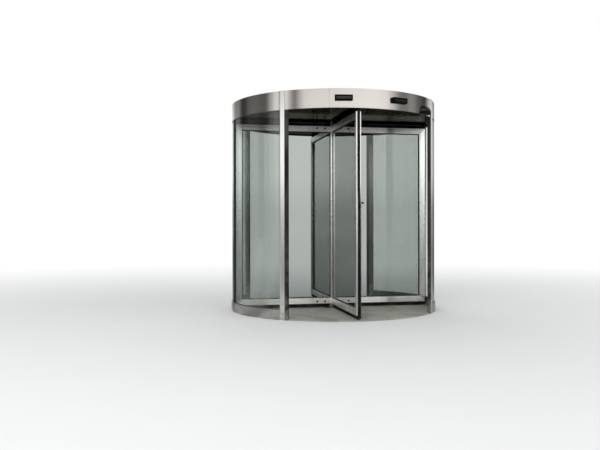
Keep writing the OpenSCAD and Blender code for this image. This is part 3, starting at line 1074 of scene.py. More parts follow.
@dataclass
class Uprights(Assembly):
    """Posts with steel covers and rubber safety edges, and the dark mullions at the sides.

    Args:
        cover_t: thickness of a post's cover.
        fold_w: width of the fold along the cover's edge.
        fold_d: depth of that fold.
        bevel: rounding of a post's edges.
        edge_d: depth of a safety edge.
        nose_r: rounding of a safety edge's nose.
        nose_steps: number of points round each of the nose's corners, and along the nose.
        ribs: number of grooves along that nose.
        rib_d: depth of those grooves.
        edge_bevel: rounding of a safety edge's ends.
        groove_half: half the width of the groove down a mullion.
        groove_d: depth of that groove.
        mullion_bevel: rounding of a mullion's edges.
    """

    cover_t: float = 0.010
    fold_w: float = 0.009
    fold_d: float = 0.003
    bevel: float = 0.0012
    edge_d: float = 0.028
    nose_r: float = 0.004
    nose_steps: tuple[int, int] = (7, 25)
    ribs: int = 3
    rib_d: float = 0.0014
    edge_bevel: float = 0.0006
    groove_half: float = 0.006
    groove_d: float = 0.004
    mullion_bevel: float = 0.001

    def build(self) -> None:
        """Builds the posts, safety edges and mullions."""
        sides = (("front_right", 0, 1), ("front_left", 0, -1), ("rear_left", 180, 1), ("rear_right", 180, -1))
        edges = []
        for name, turned, side in sides:
            self._post(name, turned, side)
            edges.append(self._safety_edge(turned, side))
        self.shop.piece("rubber_edges", Skin.join(edges), [self.finish.edge_rubber], Body.DRUM, "rubber",
                        ("safety_edges",), self.edge_bevel, 1)
        for name, angle in (("right", 90), ("left", -90)):
            self._mullion(name, angle)

    def _post(self, name: str, turned: float, side: int) -> None:
        """One post: a core between floor and canopy, and a folded cover up to the canopy's top.

        Args:
            name: name of the post's quarter.
            turned: angle of the middle of its opening.
            side: 1 for a post at a larger angle than that, -1 for a smaller one.
        """
        half = DOOR.span(DOOR.post_w) / 2
        middle = turned + side * (DOOR.post_start + half)
        back = DOOR.lip_r + DOOR.fit
        front = back + self.cover_t
        slope = math.tan(math.radians(half))
        core = bar(flat_bar(DOOR.drum_inner_r, back - DOOR.fit, half), 0.0, DOOR.passage_h)
        edge = front * slope
        cover = np.array([[back, -back * slope], [front, -edge], [front, edge - self.fold_w],
                          [front - self.fold_d, edge - self.fold_d / 2], [back, back * slope]])
        cover[:, 1] *= side
        skin = Skin.join([core, bar(cover, 0.0, DOOR.canopy_top)]).turned(middle)
        self.shop.piece(f"door_post_{name}", skin, [self.finish.post], Body.DRUM, "brushed_steel",
                        (f"post_{name}",), self.bevel, sharp=15)

    def _safety_edge(self, turned: float, side: int) -> Skin:
        """One rubber edge with rounded corners and grooves along its nose.

        Formula: a corner is a quarter circle. At the share t of the way between the corners, the
        nose lies back by half the groove's depth times one less the cosine of t times the number
        of grooves, where one is a full turn.

        Args:
            turned: angle of the middle of its opening.
            side: 1 for an edge at a larger angle than that, -1 for a smaller one.

        Returns:
            Its skin.
        """
        half = DOOR.span(DOOR.safety_edge_w) / 2
        middle = turned + side * (DOOR.opening_half + half)
        centre = DOOR.drum_inner_r + self.edge_d / 2
        base = centre * math.tan(math.radians(half))
        corner, flat, r = self.nose_steps[0], self.edge_d / 2 - self.nose_r, self.nose_r
        a, t = np.linspace(0, math.pi / 2, corner), np.linspace(0, 1, self.nose_steps[1])[1:-1]
        pull = self.rib_d * 0.5 * (1 - np.cos(2 * math.pi * self.ribs * t))
        near = np.stack((centre - flat - r * np.cos(a), -base + r * (1 - np.sin(a))), -1)
        far = np.stack((centre + flat + r * np.sin(a), -base + r * (1 - np.cos(a))), -1)
        nose = np.concatenate((near, np.stack((centre + flat * (2 * t - 1), pull - base), -1), far))
        back = np.array([[centre + self.edge_d / 2, base], [centre - self.edge_d / 2, base]])
        outline = np.concatenate((nose, back))
        outline[:, 1] *= side
        return bar(outline, 0.0, DOOR.passage_h).turned(middle)

    def _mullion(self, name: str, angle: float) -> None:
        """One dark mullion with a groove down its outer face.

        Args:
            name: name of its side.
            angle: its angle.
        """
        inner, outer, groove = DOOR.drum_inner_r, DOOR.wall_outer_r, self.groove_half
        slope, floor = math.tan(math.radians(DOOR.mullion_half)), outer - self.groove_d
        outline = np.array([[inner, -inner * slope], [outer, -outer * slope], [outer, -groove],
                            [floor, -groove], [floor, groove], [outer, groove],
                            [outer, outer * slope], [inner, inner * slope]])
        self.shop.piece(f"side_mullion_{name}", bar(outline, 0.0, DOOR.passage_h).turned(angle),
                        [self.finish.anodised], Body.DRUM, "dark_aluminium", (f"mullion_{name}",),
                        self.mullion_bevel)


@dataclass
class Canopy(Assembly):
    """Steel panels, ceiling and roof of the canopy.

    Args:
        sheet_t: thickness of the steel sheet.
        flange_d: depth of the flange under the roof.
        roof_t: thickness of the roof sheet.
        seam_angle: angle from the middle of an opening to a panel joint.
        joint: width of a panel joint.
        seat_gap: gap between a panel and the sheet that lies on it.
        bevel: rounding of a panel's edges.
        screws: number of screws round the roof.
        screw_in: distance of a screw from the panels' face.
        screw_angle: angle of the first screw.
    """

    sheet_t: float = 0.003
    flange_d: float = 0.018
    roof_t: float = 0.003
    seam_angle: float = 22.2
    joint: float = 0.0012
    seat_gap: float = 0.00005
    bevel: float = 0.0006
    screws: int = 36
    screw_in: float = 0.014
    screw_angle: float = 5.0

    def build(self) -> None:
        """Builds the panels and dresses the flat sheets."""
        seams = (-self.seam_angle, self.seam_angle, 90, 180 - self.seam_angle, 180 + self.seam_angle, 270,
                 360 - self.seam_angle)
        for name, low, high in zip(PANELS, seams, seams[1:]):
            self._panel(name, low, high)
        self.shop.dress("ceiling", self.finish.ceiling)
        self.shop.dress("roof", self.finish.roof)
        self.shop.dress("canopy_frame", self.finish.primer)
        self.shop.dress("top_bearing", self.finish.primer)
        self._roof_screws()

    def _panel(self, name: str, low: float, high: float) -> None:
        """One curved sheet with a lip below and a flange above. Its underside has the dark ceiling finish as
        painted shade.

        Args:
            name: the panel's name.
            low: angle of its first joint.
            high: angle of its last joint.
        """
        inner, lip, face = DOOR.drum_inner_r, DOOR.lip_r, DOOR.fascia_r
        low_z, ceiling, top = DOOR.passage_h, DOOR.ceiling_z - self.seat_gap, DOOR.canopy_top
        back, shelf = face - self.sheet_t, top - self.roof_t - self.seat_gap
        outline = np.array([[inner, low_z], [lip, low_z], [lip, ceiling], [face, ceiling], [face, top],
                            [back, top], [back, shelf], [back - self.flange_d, shelf],
                            [back - self.flange_d, shelf - self.sheet_t], [back, shelf - self.sheet_t],
                            [back, ceiling], [inner, ceiling]])
        half = DOOR.span(self.joint) / 2
        skin = ring(outline, low + half, high - half)
        # Painted shade: the faces under the lip get the dark ceiling finish, a dark line where the canopy's
        # lower edge lies in shade.
        skin.slots = [int(k % len(outline) == 0) for k in range(len(skin.faces) - 2)] + [0, 0]
        self.shop.piece(f"canopy_panel_{name}", skin, [self.finish.canopy, self.finish.ceiling], Body.DRUM,
                        "canopy_steel", (f"fascia_{name}",), self.bevel, 1)

    def _roof_screws(self) -> None:
        """Screws round the roof sheet, level with the canopy's top edge."""
        place = (DOOR.fascia_r - self.screw_in, 0.0, DOOR.canopy_top)
        angles = np.linspace(0, 360, self.screws, endpoint=False) + self.screw_angle
        skins = [lathe(ROOF_SCREW, place, steps=10).turned(float(a)) for a in angles]
        self.shop.piece("roof_screws", Skin.join(skins), [self.finish.bolt], Body.DRUM, "dark_metal")


@dataclass(frozen=True)
class SensorBox:
    """One presence sensor in a box over an opening.

    Args:
        width: its width.
        height: its height.
        depth: its depth.
        chamfer: slope at its lower front edge.
        angle: angle from the middle of an opening to its own middle.
        columns: number of places along it where it follows the canopy.
        groove: height and depth of the groove along its front.
        groove_top: distance of that groove from its top.
        window_half: half the window's width, as a share of the box's.
        window_in: how deep the window stands in the front.
        window_out: how far it stands out.
        window_low: distance of the window's foot from the slope.
        window_high: distance of its top from the groove.
        eyes: places of the two lenses across the front.
    """

    width: float = 0.185
    height: float = 0.058
    depth: float = 0.035
    chamfer: float = 0.012
    angle: float = 15.1
    columns: int = 13
    groove: float = 0.003
    groove_top: float = 0.008
    window_half: float = 0.42
    window_in: float = 0.004
    window_out: float = 0.0004
    window_low: float = 0.004
    window_high: float = 0.002
    eyes: Pair = (-0.018, 0.030)

    def skin(self) -> Skin:
        """The box, whose back follows the canopy, with a window and two lenses in its front.

        Formula: at the distance y from its middle, the back lies at the square root of the
        canopy's radius squared less y squared.

        Returns:
            Its skin, drawn outwards along +X, with window and lenses in the second slot.
        """
        middle = DOOR.passage_h + DOOR.canopy_h / 2
        low, high = middle - self.height / 2, middle + self.height / 2
        y = np.linspace(-self.width / 2, self.width / 2, self.columns)
        back = np.sqrt((DOOR.fascia_r + DOOR.fit) ** 2 - y**2)
        front = DOOR.fascia_r + self.depth
        slope, slit = low + self.chamfer, high - self.groove_top
        steps = [(front - self.chamfer, low), (front, slope), (front, slit - 2 * self.groove),
                 (front - self.groove, slit - self.groove), (front - self.groove, slit),
                 (front, slit + self.groove), (front, high)]
        xs = [back] + [0 * y + x for x, _ in steps] + [back]
        zs = [low] + [z for _, z in steps] + [high]
        body = carry(np.stack([np.stack((x, y, 0 * y + z), -1) for x, z in zip(xs, zs)], 1))
        half, foot = self.width * self.window_half, slope + self.window_low
        window = slab((front - self.window_in, -half, foot),
                      (front + self.window_out, half, slit - 2 * self.groove - self.window_high), 1)
        eye_z = (slope + slit) / 2 - self.groove
        eyes = [lathe(SENSOR_EYE, (front, across, eye_z), "x", 20, 1) for across in self.eyes]
        return Skin.join([body, window] + eyes)


@dataclass(frozen=True)
class RoundSensor:
    """One rounded sensor beside a post: a lying cylinder with ball ends.

    Args:
        radius: its radius.
        below: height of its foot below its widest line.
        length: length between its round ends.
        angle: angle from the middle of an opening to its own middle.
        foot: its height above the canopy's lower edge.
        sink: how far its round ends dip into the canopy's face.
        tip: angle in radians that is left out at the tip of a ball end.
        end_steps: number of outlines along a ball end.
        length_steps: number of outlines along its straight part.
        round_steps: number of points round it.
        window: heights over its foot between which it is a window.
    """

    radius: float = 0.055
    below: float = 0.029
    length: float = 0.088
    angle: float = 37.4
    foot: float = 0.012
    sink: float = 0.002
    tip: float = 0.03
    end_steps: int = 16
    length_steps: int = 7
    round_steps: int = 30
    window: Pair = (0.020, 0.052)

    def skin(self) -> Skin:
        """The sensor, cut flat below and to the canopy behind.

        Formula: at the distance s beyond the straight part's end, the radius is the square root
        of the full radius squared less s squared. A point at the height angle e lies at that
        radius times cos e outwards and times sin e up.

        Returns:
            Its skin, drawn outwards along +X, with the window in the second slot.
        """
        past = self.radius * np.sin(np.linspace(0, math.pi / 2 - self.tip, self.end_steps))
        middle = np.linspace(-self.length / 2, self.length / 2, self.length_steps)
        y = np.concatenate((middle[0] - past[:0:-1], middle, middle[-1] + past[1:]))[:, None]
        beyond = np.maximum(np.abs(y) - self.length / 2, 0.0)
        radius = np.sqrt(self.radius**2 - beyond**2)
        own = math.sqrt((DOOR.fascia_r - self.sink) ** 2 - (self.length / 2 + self.radius) ** 2)
        back = np.sqrt((DOOR.fascia_r + DOOR.fit) ** 2 - y**2)
        high = np.arccos(np.clip((back - own) / radius, -1.0, 1.0))
        low = np.maximum(-np.arcsin(np.minimum(self.below / radius, 1.0)), -high)
        e = low + (high - low) * np.linspace(0, 1, self.round_steps)[None, :]
        out, up = own + radius * np.cos(e), radius * np.sin(e)
        out = np.maximum(np.concatenate((back, out), 1), back)
        up = np.concatenate((up[:, :1], up), 1) + DOOR.passage_h + self.foot + self.below
        skin = carry(np.stack((out, y + 0 * out, up), -1))
        heights = skin.verts[np.array([f[0] for f in skin.faces])][:, 2] - DOOR.passage_h - self.foot
        skin.slots = [int(self.window[0] < z < self.window[1]) for z in heights]
        return skin


@dataclass(frozen=True)
class Downlight:
    """One recessed downlight in the ceiling: a rim, a can and a lens.

    Args:
        radius: outer radius of its rim.
        rim: width of that rim.
        at: its distance from the axis.
        angle: angle from the middle of an opening to it.
        height: height of the can.
        inside: height of the can's inside.
        slope_w: width of the slope inside the rim, and of the gap round the lens.
        slope_h: height of that slope.
        lens: heights of the lens's middle, its edge and its back.
        steps: number of outlines round it.
    """

    radius: float = 0.045
    rim: float = 0.006
    at: float = 0.875
    angle: float = 64.9
    height: float = 0.036
    inside: float = 0.030
    slope_w: float = 0.002
    slope_h: float = 0.003
    lens: tuple[float, float, float] = (0.012, 0.016, 0.018)
    steps: int = 48

    def skin(self) -> Skin:
        """The rim and the can, which are one piece, and the lens.

        Returns:
            Its skin, placed along +X, with the lens in the second slot.
        """
        inner, place = self.radius - self.rim, (self.at, 0.0, DOOR.ceiling_z)
        can = np.array([[self.radius, 0.0], [self.radius, self.height], [0.0, self.height],
                        [0.0, self.inside], [inner, self.inside], [inner, self.slope_h],
                        [inner + self.slope_w, 0.0]])
        middle, edge, back = self.lens
        lens = np.array([[0.0, middle], [inner - self.slope_w, edge], [inner - self.slope_w, back],
                         [0.0, back]])
        return Skin.join([lathe(can, place, steps=self.steps),
                          lathe(lens, place, steps=self.steps, slot=1)])


@dataclass
class Sensors(Assembly):
    """Presence sensors over the openings, round sensors beside two posts, and downlights.

    Args:
        box: a presence sensor.
        dome: a round sensor.
        light: a downlight.
        box_bevel: rounding of a presence sensor's edges.
        light_bevel: rounding of a downlight's edges.
    """

    box: SensorBox = SensorBox()
    dome: RoundSensor = RoundSensor()
    light: Downlight = Downlight()
    box_bevel: float = 0.0022
    light_bevel: float = 0.0006

    def build(self) -> None:
        """Builds the sensors of both sides."""
        looks = [self.finish.sensor, self.finish.window]
        for name, turned in (("front", 0), ("rear", 180)):
            skins = [self.box.skin().turned(turned + side * self.box.angle) for side in (-1, 1)]
            self.shop.piece(f"presence_sensors_{name}", Skin.join(skins), looks, Body.DRUM,
                            "sensor_plastic", (f"{name}_sensors",), self.box_bevel, 2)
        domes = [self.dome.skin().turned(turned + self.dome.angle) for turned in (0, 180)]
        self.shop.piece("round_sensors", Skin.join(domes), looks, Body.DRUM, "sensor_plastic",
                        ("post_sensors",), sharp=50)
        lights = [self.light.skin().turned(turned + self.light.angle) for turned in (0, 180)]
        self.shop.piece("ceiling_downlights", Skin.join(lights), looks, Body.DRUM, "sensor_plastic",
                        ("downlights",), self.light_bevel, 1)


@dataclass
class FloorAndBearing(Assembly):
    """The floor plate's covering and the round bearing plate under the column.

    Args:
        plate_r: radius of the bearing's round plate.
        plate_t: thickness of that plate.
        edge: chamfer of the plate's edge, and half that of the boss's.
        boss_r: radius of the bearing's boss.
        boss_h: height of the boss.
        slope_w: width of the slope at the boss's foot.
        slope_h: height of that slope.
        journal_r: radius of the hole for the journal.
        screws: number of screws in the plate.
    """

    plate_r: float = 0.120
    plate_t: float = 0.003
    edge: float = 0.001
    boss_r: float = 0.042
    boss_h: float = 0.015
    slope_w: float = 0.006
    slope_h: float = 0.004
    journal_r: float = 0.01505
    screws: int = 4

    def build(self) -> None:
        """Dresses the floor plate and builds the bearing."""
        self.shop.dress("floor_plate", self.finish.floor)
        z, edge = DOOR.plate_t, self.edge
        low, top = z - self.plate_t, z + self.boss_h
        profile = np.array([[self.journal_r, low], [self.plate_r, low], [self.plate_r, z - edge],
                            [self.plate_r - edge, z], [self.boss_r + self.slope_w, z],
                            [self.boss_r, z + self.slope_h], [self.boss_r, top - 2 * edge],
                            [self.boss_r - 2 * edge, top], [self.journal_r, top]])
        plate = lathe(profile, (0.0, 0.0, 0.0), steps=96)
        place = ((self.plate_r + self.boss_r) / 2, 0.0, z)
        screws = [lathe(PLATE_SCREW, place, steps=16, slot=1).turned(360 / self.screws * (n + 0.5))
                  for n in range(self.screws)]
        self.shop.piece("bearing_plate", Skin.join([plate] + screws),
                        [self.finish.bearing, self.finish.bolt], Body.DRUM, "bearing_steel",
                        ("floor_bearing",))


@dataclass(frozen=True)
class Trim:
    """Sizes of the rubber round a wing's pane, and places of the small screws on the frame.

    Args:
        width: width of the rubber along the rails and the stile.
        thick: its thickness, which is also its width along the column.
        gap: gap between it and the column.
        screw_in: distance of a screw from the wing's outer edge, as a share of the rail's width.
        screw_up: distance of a screw from the wing's lower or upper edge, as the same share.
    """

    width: float = 0.009
    thick: float = 0.005
    gap: float = 0.0005
    screw_in: float = 1.35
    screw_up: float = 0.42


@dataclass(frozen=True)
class Bristle:
    """How the tufts of a brush seal stand.

    Args:
        backing: share of a brush's width that its solid backing strip fills.
        pitch: distance from one tuft to the next.
        root: how deep a tuft stands in the backing strip.
        least: length of the shortest tuft, as a share of the longest.
        lean: width of the range in which a tip lies, as a share of the pitch.
        taper: width of a tip along its run, as a share of its foot's.
        flat_flare: thickness of a tip under or over a wing, as a share of its foot's.
        side_flare: the same for a tip beside a wing.
        side_gap: how much shorter the tufts beside a wing are.
        bend: how far turning has bent the tips beside a wing to one side.
        bend_top: height at which that bend starts.
        bend_reach: how far below that it is whole.
        seed: seed of the first wing's random draws.
    """

    backing: float = 0.80
    pitch: float = 0.0042
    root: float = 0.002
    least: float = 0.86
    lean: float = 0.8
    taper: float = 0.8
    flat_flare: float = 0.8
    side_flare: float = 1.6
    side_gap: float = 0.0002
    bend: float = 0.009
    bend_top: float = 1.45
    bend_reach: float = 0.35
    seed: int = 11


@dataclass(frozen=True)
class Run:
    """One straight run of tufts in a wing's plane, where a place is (distance from axis, height).

    Args:
        start: its first place.
        end: its last place.
        out: direction in which the tufts point.
        length: length of the longest tuft.
        flare: thickness of a tip as a share of its foot's.
        bend: how far the lower tips are bent to one side.
    """

    start: Pair
    end: Pair
    out: Pair
    length: float
    flare: float
    bend: float = 0.0


@dataclass(frozen=True)
class Clamp:
    """Sizes of a clamp plate beside the column and of its two socket bolts.

    Args:
        start: distance of the plate's inner end from the axis.
        length: its length.
        height: its height.
        thick: its thickness.
        chamfer: how much is cut from its outer corners.
        bevel: rounding of its edges.
        bolts: distances of the bolts from the axis.
    """

    start: float = 0.0313
    length: float = 0.198
    height: float = 0.050
    thick: float = 0.003
    chamfer: float = 0.005
    bevel: float = 0.0006
    bolts: Pair = (0.100, 0.196)

    def plate(self) -> np.ndarray:
        """Outline of the plate.

        Returns:
            Points as (distance from axis, height from its middle).
        """
        half, end = self.height / 2, self.start + self.length
        return np.array([[self.start, -half], [end - self.chamfer, -half], [end, -half + self.chamfer],
                         [end, half - self.chamfer], [end - self.chamfer, half], [self.start, half]])


@dataclass(frozen=True)
class Lock:
    """Sizes of the lock on the first wing's stile.

    Args:
        z: height of the thumb knob's axis.
        width: width of the lock plate.
        above: how far the plate reaches over the knob's axis.
        below: how far it reaches under it.
        thick: its thickness.
        bevel: rounding of its edges.
        key_below: how far the keyhole's axis lies under the knob's.
    """

    z: float = 1.225
    width: float = 0.034
    above: float = 0.017
    below: float = 0.093
    thick: float = 0.004
    bevel: float = 0.0008
    key_below: float = 0.062


@dataclass
class Rotor(Assembly):
    """Centre column and four glazed wings, all turning together.

    Args:
        running_gap: gap between the solid brushes and the walls, floor and ceiling.
        column_w: width of the square column.
        column_low: height of its foot.
        groove_d: depth of the groove for the glass in each of its faces.
        journal_r: radius of the journal under it.
        shaft_r: radius of the shaft over it.
        shaft_h: height of the shaft over the column's top.
        root: how deep journal and shaft stand in the column.
        column_bevel: rounding of the column's edges.
        boss_r: radius of the floor bearing's boss, which the lower brushes keep clear of.
        wing_t: thickness of a wing's frame.
        rail_w: width of a wing's rails and stile.
        bead_w: width of the glazing bead.
        bead_step: depth of the bead below the frame's face.
        edge: chamfer at the frame's outer corners.
        frame_bevel: rounding of the frame's edges.
        pocket_d: depth of the groove for the glass.
        glass_t: thickness of a wing's glass.
        glass_bevel: rounding of the glass's edges.
        mitre_gap: width of the joint on the mitre.
        brush_t: thickness of a brush seal.
        slot_d: depth of the groove for a brush seal.
        brush_bottom: height of the brush under a wing.
        brush_top: height of the brush over a wing.
        brush_side: width of the brush beside a wing.
        tip_gap: gap that the tips of the bristles leave, less than their solid strip does.
        trim: sizes of the rubber round the panes.
        bristle: how the tufts stand.
        clamp: sizes of the clamp plates.
        lock: sizes of the lock.

    Attributes:
        tip_r: distance of the outer solid brushes' edge from the axis.
        wing_r: distance of a frame's outer edge from the axis.
        brush_low: height of the lower solid brushes' foot.
        low: height of a frame's lower edge.
        brush_high: height of the upper solid brushes' top, and of the column's.
        high: height of a frame's upper edge.
    """

    running_gap: float = 0.005
    column_w: float = 0.060
    column_low: float = 0.0253
    groove_d: float = 0.008
    journal_r: float = 0.015
    shaft_r: float = 0.025
    shaft_h: float = 0.109
    root: float = 0.001
    column_bevel: float = 0.0015
    boss_r: float = 0.042
    wing_t: float = 0.056
    rail_w: float = 0.069
    bead_w: float = 0.014
    bead_step: float = 0.004
    edge: float = 0.003
    frame_bevel: float = 0.0009
    pocket_d: float = 0.015
    glass_t: float = 0.008
    glass_bevel: float = 0.0006
    mitre_gap: float = 0.0004
    brush_t: float = 0.0164
    slot_d: float = 0.012
    brush_bottom: float = 0.040
    brush_top: float = 0.034
    brush_side: float = 0.014
    tip_gap: float = 0.0015
    trim: Trim = Trim()
    bristle: Bristle = Bristle()
    clamp: Clamp = Clamp()
    lock: Lock = Lock()
    tip_r: float = field(init=False)
    wing_r: float = field(init=False)
    brush_low: float = field(init=False)
    low: float = field(init=False)
    brush_high: float = field(init=False)
    high: float = field(init=False)

    def __post_init__(self) -> None:
        """Works out the rotor's reach from the walls, floor and ceiling around it."""
        self.tip_r = DOOR.drum_inner_r - self.running_gap
        self.wing_r = self.tip_r - self.brush_side
        self.brush_low = DOOR.plate_t + self.running_gap
        self.low = self.brush_low + self.brush_bottom
        self.brush_high = DOOR.ceiling_z - self.running_gap
        self.high = self.brush_high - self.brush_top

    def build(self) -> None:
        """Builds the column and the four wings."""
        self._column()
        for n in WINGS:
            angle = DOOR.rest_angle + 90 * n
            self._frame(n, angle)
            self._trim(n, angle)
            self._glass(n, angle)
            self._brushes(n, angle)
        self._clamps()
        self._lock()

    def _column(self) -> None:
        """Square column with a groove down each face, its lower journal and its upper shaft."""
        half, groove = self.column_w / 2, self.glass_t / 2 + DOOR.fit
        x, y = np.array([[half, -half], [half, -groove], [half - self.groove_d, -groove],
                         [half - self.groove_d, groove], [half, groove]]).T
        outline = np.concatenate([
            np.stack((x * math.cos(t) - y * math.sin(t), x * math.sin(t) + y * math.cos(t)), -1)
            for t in np.radians(90 * np.arange(4))])
        foot = DOOR.plate_t + DOOR.fit
        reach = self.column_low - foot + self.root
        journal = np.array([[0.0, 0.0], [self.journal_r, 0.0], [self.journal_r, reach], [0.0, reach]])
        shaft = np.array([[0.0, -self.root], [self.shaft_r, -self.root], [self.shaft_r, self.shaft_h],
                          [0.0, self.shaft_h]])
        skins = [bar(outline, self.column_low, self.brush_high).turned(DOOR.rest_angle),
                 lathe(journal, (0.0, 0.0, foot)), lathe(shaft, (0.0, 0.0, self.brush_high))]
        self.shop.piece("rotor_column", Skin.join(skins), [self.finish.wing], Body.ROTOR, "brushed_steel",
                        ("centre_column",), self.column_bevel)

    def _section(self) -> np.ndarray:
        """Outline of a rail with its bead, its groove for the glass and its groove for the brush.

        Returns:
            Points as (distance from the outer edge, place across the thickness).
        """
        h, w, e = self.wing_t / 2, self.rail_w, self.edge
        slot, pocket = self.brush_t / 2 + DOOR.fit, self.glass_t / 2 + DOOR.fit
        bead, inner = w - self.bead_w, h - self.bead_step
        return np.array([[0, -h + e], [e, -h], [bead, -h], [bead, -inner], [w, -inner], [w, -pocket],
                         [w - self.pocket_d, -pocket], [w - self.pocket_d, pocket], [w, pocket],
                         [w, inner], [bead, inner], [bead, h], [e, h], [0, h - e], [0, slot],
                         [self.slot_d, slot], [self.slot_d, -slot], [0, -slot]])

    def _frame(self, n: int, angle: float) -> None:
        """Top rail, bottom rail and stile of one wing, mitred at the outer corners.

        Formula: a rail's outline ends where the distance from the wing's outer edge equals the
        distance from the rail's own edge, which is the mitre.

        Args:
            n: number of the wing, counted from zero.
            angle: its angle.
        """
        u, v = self._section().T
        gap = self.mitre_gap / math.sqrt(2)
        start = np.stack((0 * u + self.column_w / 2, v, u), -1)
        end = np.stack((self.wing_r - u - gap, v, u), -1)
        rail = np.stack((start, end))
        low, high = rail.copy(), rail.copy()
        low[..., 2] += self.low
        high[..., 2] = self.high - high[..., 2]
        foot = np.stack((self.wing_r - u, v, self.low + u + gap), -1)
        head = np.stack((self.wing_r - u, v, self.high - u - gap), -1)
        skins = [carry(low), carry(high), carry(np.stack((foot, head)))]
        self.shop.piece(f"wing_frame_{n + 1}", Skin.join(skins).turned(angle), [self.finish.wing],
                        Body.ROTOR, "wing_steel", (f"wing_{n + 1}_frame",), self.frame_bevel)

    def _trim(self, n: int, angle: float) -> None:
        """Black rubber round one pane, and a small screw at each end of the wing's stile.

        Args:
            n: number of the wing, counted from zero.
            angle: its angle.
        """
        x0, x1 = self.column_w / 2 + self.trim.gap, self.wing_r - self.rail_w
        z0, z1 = self.low + self.rail_w, self.high - self.rail_w
        w, thin, y0 = self.trim.width, self.trim.thick, self.glass_t / 2 + DOOR.fit
        screw_x, screw_z = self.wing_r - self.rail_w * self.trim.screw_in, self.rail_w * self.trim.screw_up
        skins = []
        for side in (-1, 1):
            a, b = sorted((side * y0, side * (y0 + thin)))
            skins += [slab((x0, a, z0), (x1, b, z0 + w)), slab((x0, a, z1 - w), (x1, b, z1)),
                      slab((x1 - w, a, z0 + w), (x1, b, z1 - w)),
                      slab((x0, a, z0 + w), (x0 + thin, b, z1 - w))]
            for z in (self.high - screw_z, self.low + screw_z):
                skins.append(lathe(RAIL_SCREW, (screw_x, side * self.wing_t / 2, z),
                                   "y" if side > 0 else "-y", 16, 1))
        self.shop.piece(f"wing_trim_{n + 1}", Skin.join(skins).turned(angle),
                        [self.finish.rubber, self.finish.bolt], Body.ROTOR, "rubber")

    def _glass(self, n: int, angle: float) -> None:
        """One flat pane with ground edges.

        Args:
            n: number of the wing, counted from zero.
            angle: its angle.
        """
        inset = self.rail_w - self.pocket_d + DOOR.fit
        pane = slab((self.column_w / 2 - self.groove_d + DOOR.fit, -self.glass_t / 2, self.low + inset),
                    (self.wing_r - inset, self.glass_t / 2, self.high - inset))
        self.shop.piece(f"wing_pane_{n + 1}", pane.turned(angle), [self.finish.wing_glass], Body.ROTOR,
                        "wing_glass", (f"wing_{n + 1}_glass",), self.glass_bevel, 1)

    def _brushes(self, n: int, angle: float) -> None:
        """Bristles under, beside and over one wing, standing on a solid backing strip.

        The outer run is spread at its tips, and its lower half is bent to one side, as turning
        has set it.

        Args:
            n: number of the wing, counted from zero.
            angle: its angle.
        """
        hair, half = self.bristle, self.brush_t / 2
        start, inner_x = self.column_w / 2 + DOOR.fit, self.wing_r - self.slot_d + DOOR.fit
        low, high = self.low + self.slot_d - DOOR.fit, self.high - self.slot_d + DOOR.fit
        tip_x = inner_x + (self.tip_r - inner_x) * hair.backing
        low_z = low - (low - self.brush_low) * hair.backing
        high_z = high + (self.brush_high - high) * hair.backing
        low_start = max(start, self.boss_r + self.running_gap)
        backing = [slab((low_start, -half, low_z), (inner_x, half, low)),
                   slab((start, -half, high), (inner_x, half, high_z)),
                   slab((inner_x, -half, low_z), (tip_x, half, high_z))]
        under = low_z - (DOOR.plate_t + self.tip_gap)
        beside = DOOR.drum_inner_r - self.tip_gap - hair.side_gap - tip_x
        over = DOOR.ceiling_z - self.tip_gap - high_z
        runs = (Run((low_start, low_z), (tip_x, low_z), (0, -1), under, hair.flat_flare),
                Run((tip_x, low_z), (tip_x, high_z), (1, 0), beside, hair.side_flare, hair.bend),
                Run((start, high_z), (tip_x, high_z), (0, 1), over, hair.flat_flare))
        chance = np.random.default_rng(hair.seed + n)
        tufts = [self._tufts(run, chance) for run in runs]
        self.shop.piece(f"wing_bristles_{n + 1}", Skin.join(backing + tufts).turned(angle),
                        [self.finish.brush], Body.ROTOR, "brush", (f"wing_{n + 1}_brushes",))

    def _tufts(self, run: Run, chance: np.random.Generator) -> Skin:
        """Tufts along one run.

        Formula: tufts stand at an even pitch. Each is a post of four sides that narrows along the
        run and grows thicker or thinner across it. Its length and its lean vary by a random
        share. The bend grows smoothly from none at its top height to the whole at the end of its
        reach.

        Args:
            run: the run.
            chance: source of the random shares.

        Returns:
            One skin with all the tufts.
        """
        hair = self.bristle
        a, b, out = np.array(run.start), np.array(run.end), np.array(run.out, float)
        ahead = (b - a) / np.linalg.norm(b - a)
        count = int(np.linalg.norm(b - a) / hair.pitch)
        along = (np.arange(count) + 0.5) * hair.pitch
        height = run.length * (hair.least + (1 - hair.least) * chance.random(count))
        lean = (chance.random(count) - 0.5) * hair.pitch * hair.lean
        foot = a + along[:, None] * ahead
        tip = foot + out * height[:, None] + ahead * lean[:, None]
        half_run, half_y = hair.pitch * 0.5, self.brush_t / 2
        signs = np.array([[-1, -1], [1, -1], [1, 1], [-1, 1]], float)
        share = np.clip((hair.bend_top - foot[:, 1]) / hair.bend_reach, 0.0, 1.0)
        aside = (run.bend * share**2 * (3 - 2 * share))[:, None]
        rings = []
        for base, width, thick, lag in ((foot - out * hair.root, 1.0, 1.0, 0.0),
                                        (tip, hair.taper, run.flare, 1.0)):
            plane = base[:, None, :] + signs[None, :, :1] * half_run * width * ahead
            y = signs[None, :, 1] * half_y * thick + 0 * plane[..., 0] + aside * lag
            rings.append(np.stack((plane[..., 0], y, plane[..., 1]), -1))
        verts = np.stack(rings, 1).reshape(-1, 3)
        box = np.array([[0, 1, 5, 4], [1, 2, 6, 5], [2, 3, 7, 6], [3, 0, 4, 7], [4, 5, 6, 7],
                        [3, 2, 1, 0]])
        faces = (np.arange(count)[:, None, None] * 8 + box[None]).reshape(-1, 4)
        uvs = np.tile(np.array([[0, 0], [0, 1], [1, 1], [1, 0]]) * hair.root, (len(faces), 1))
        return Skin(verts, faces.tolist(), uvs, [0] * len(faces))

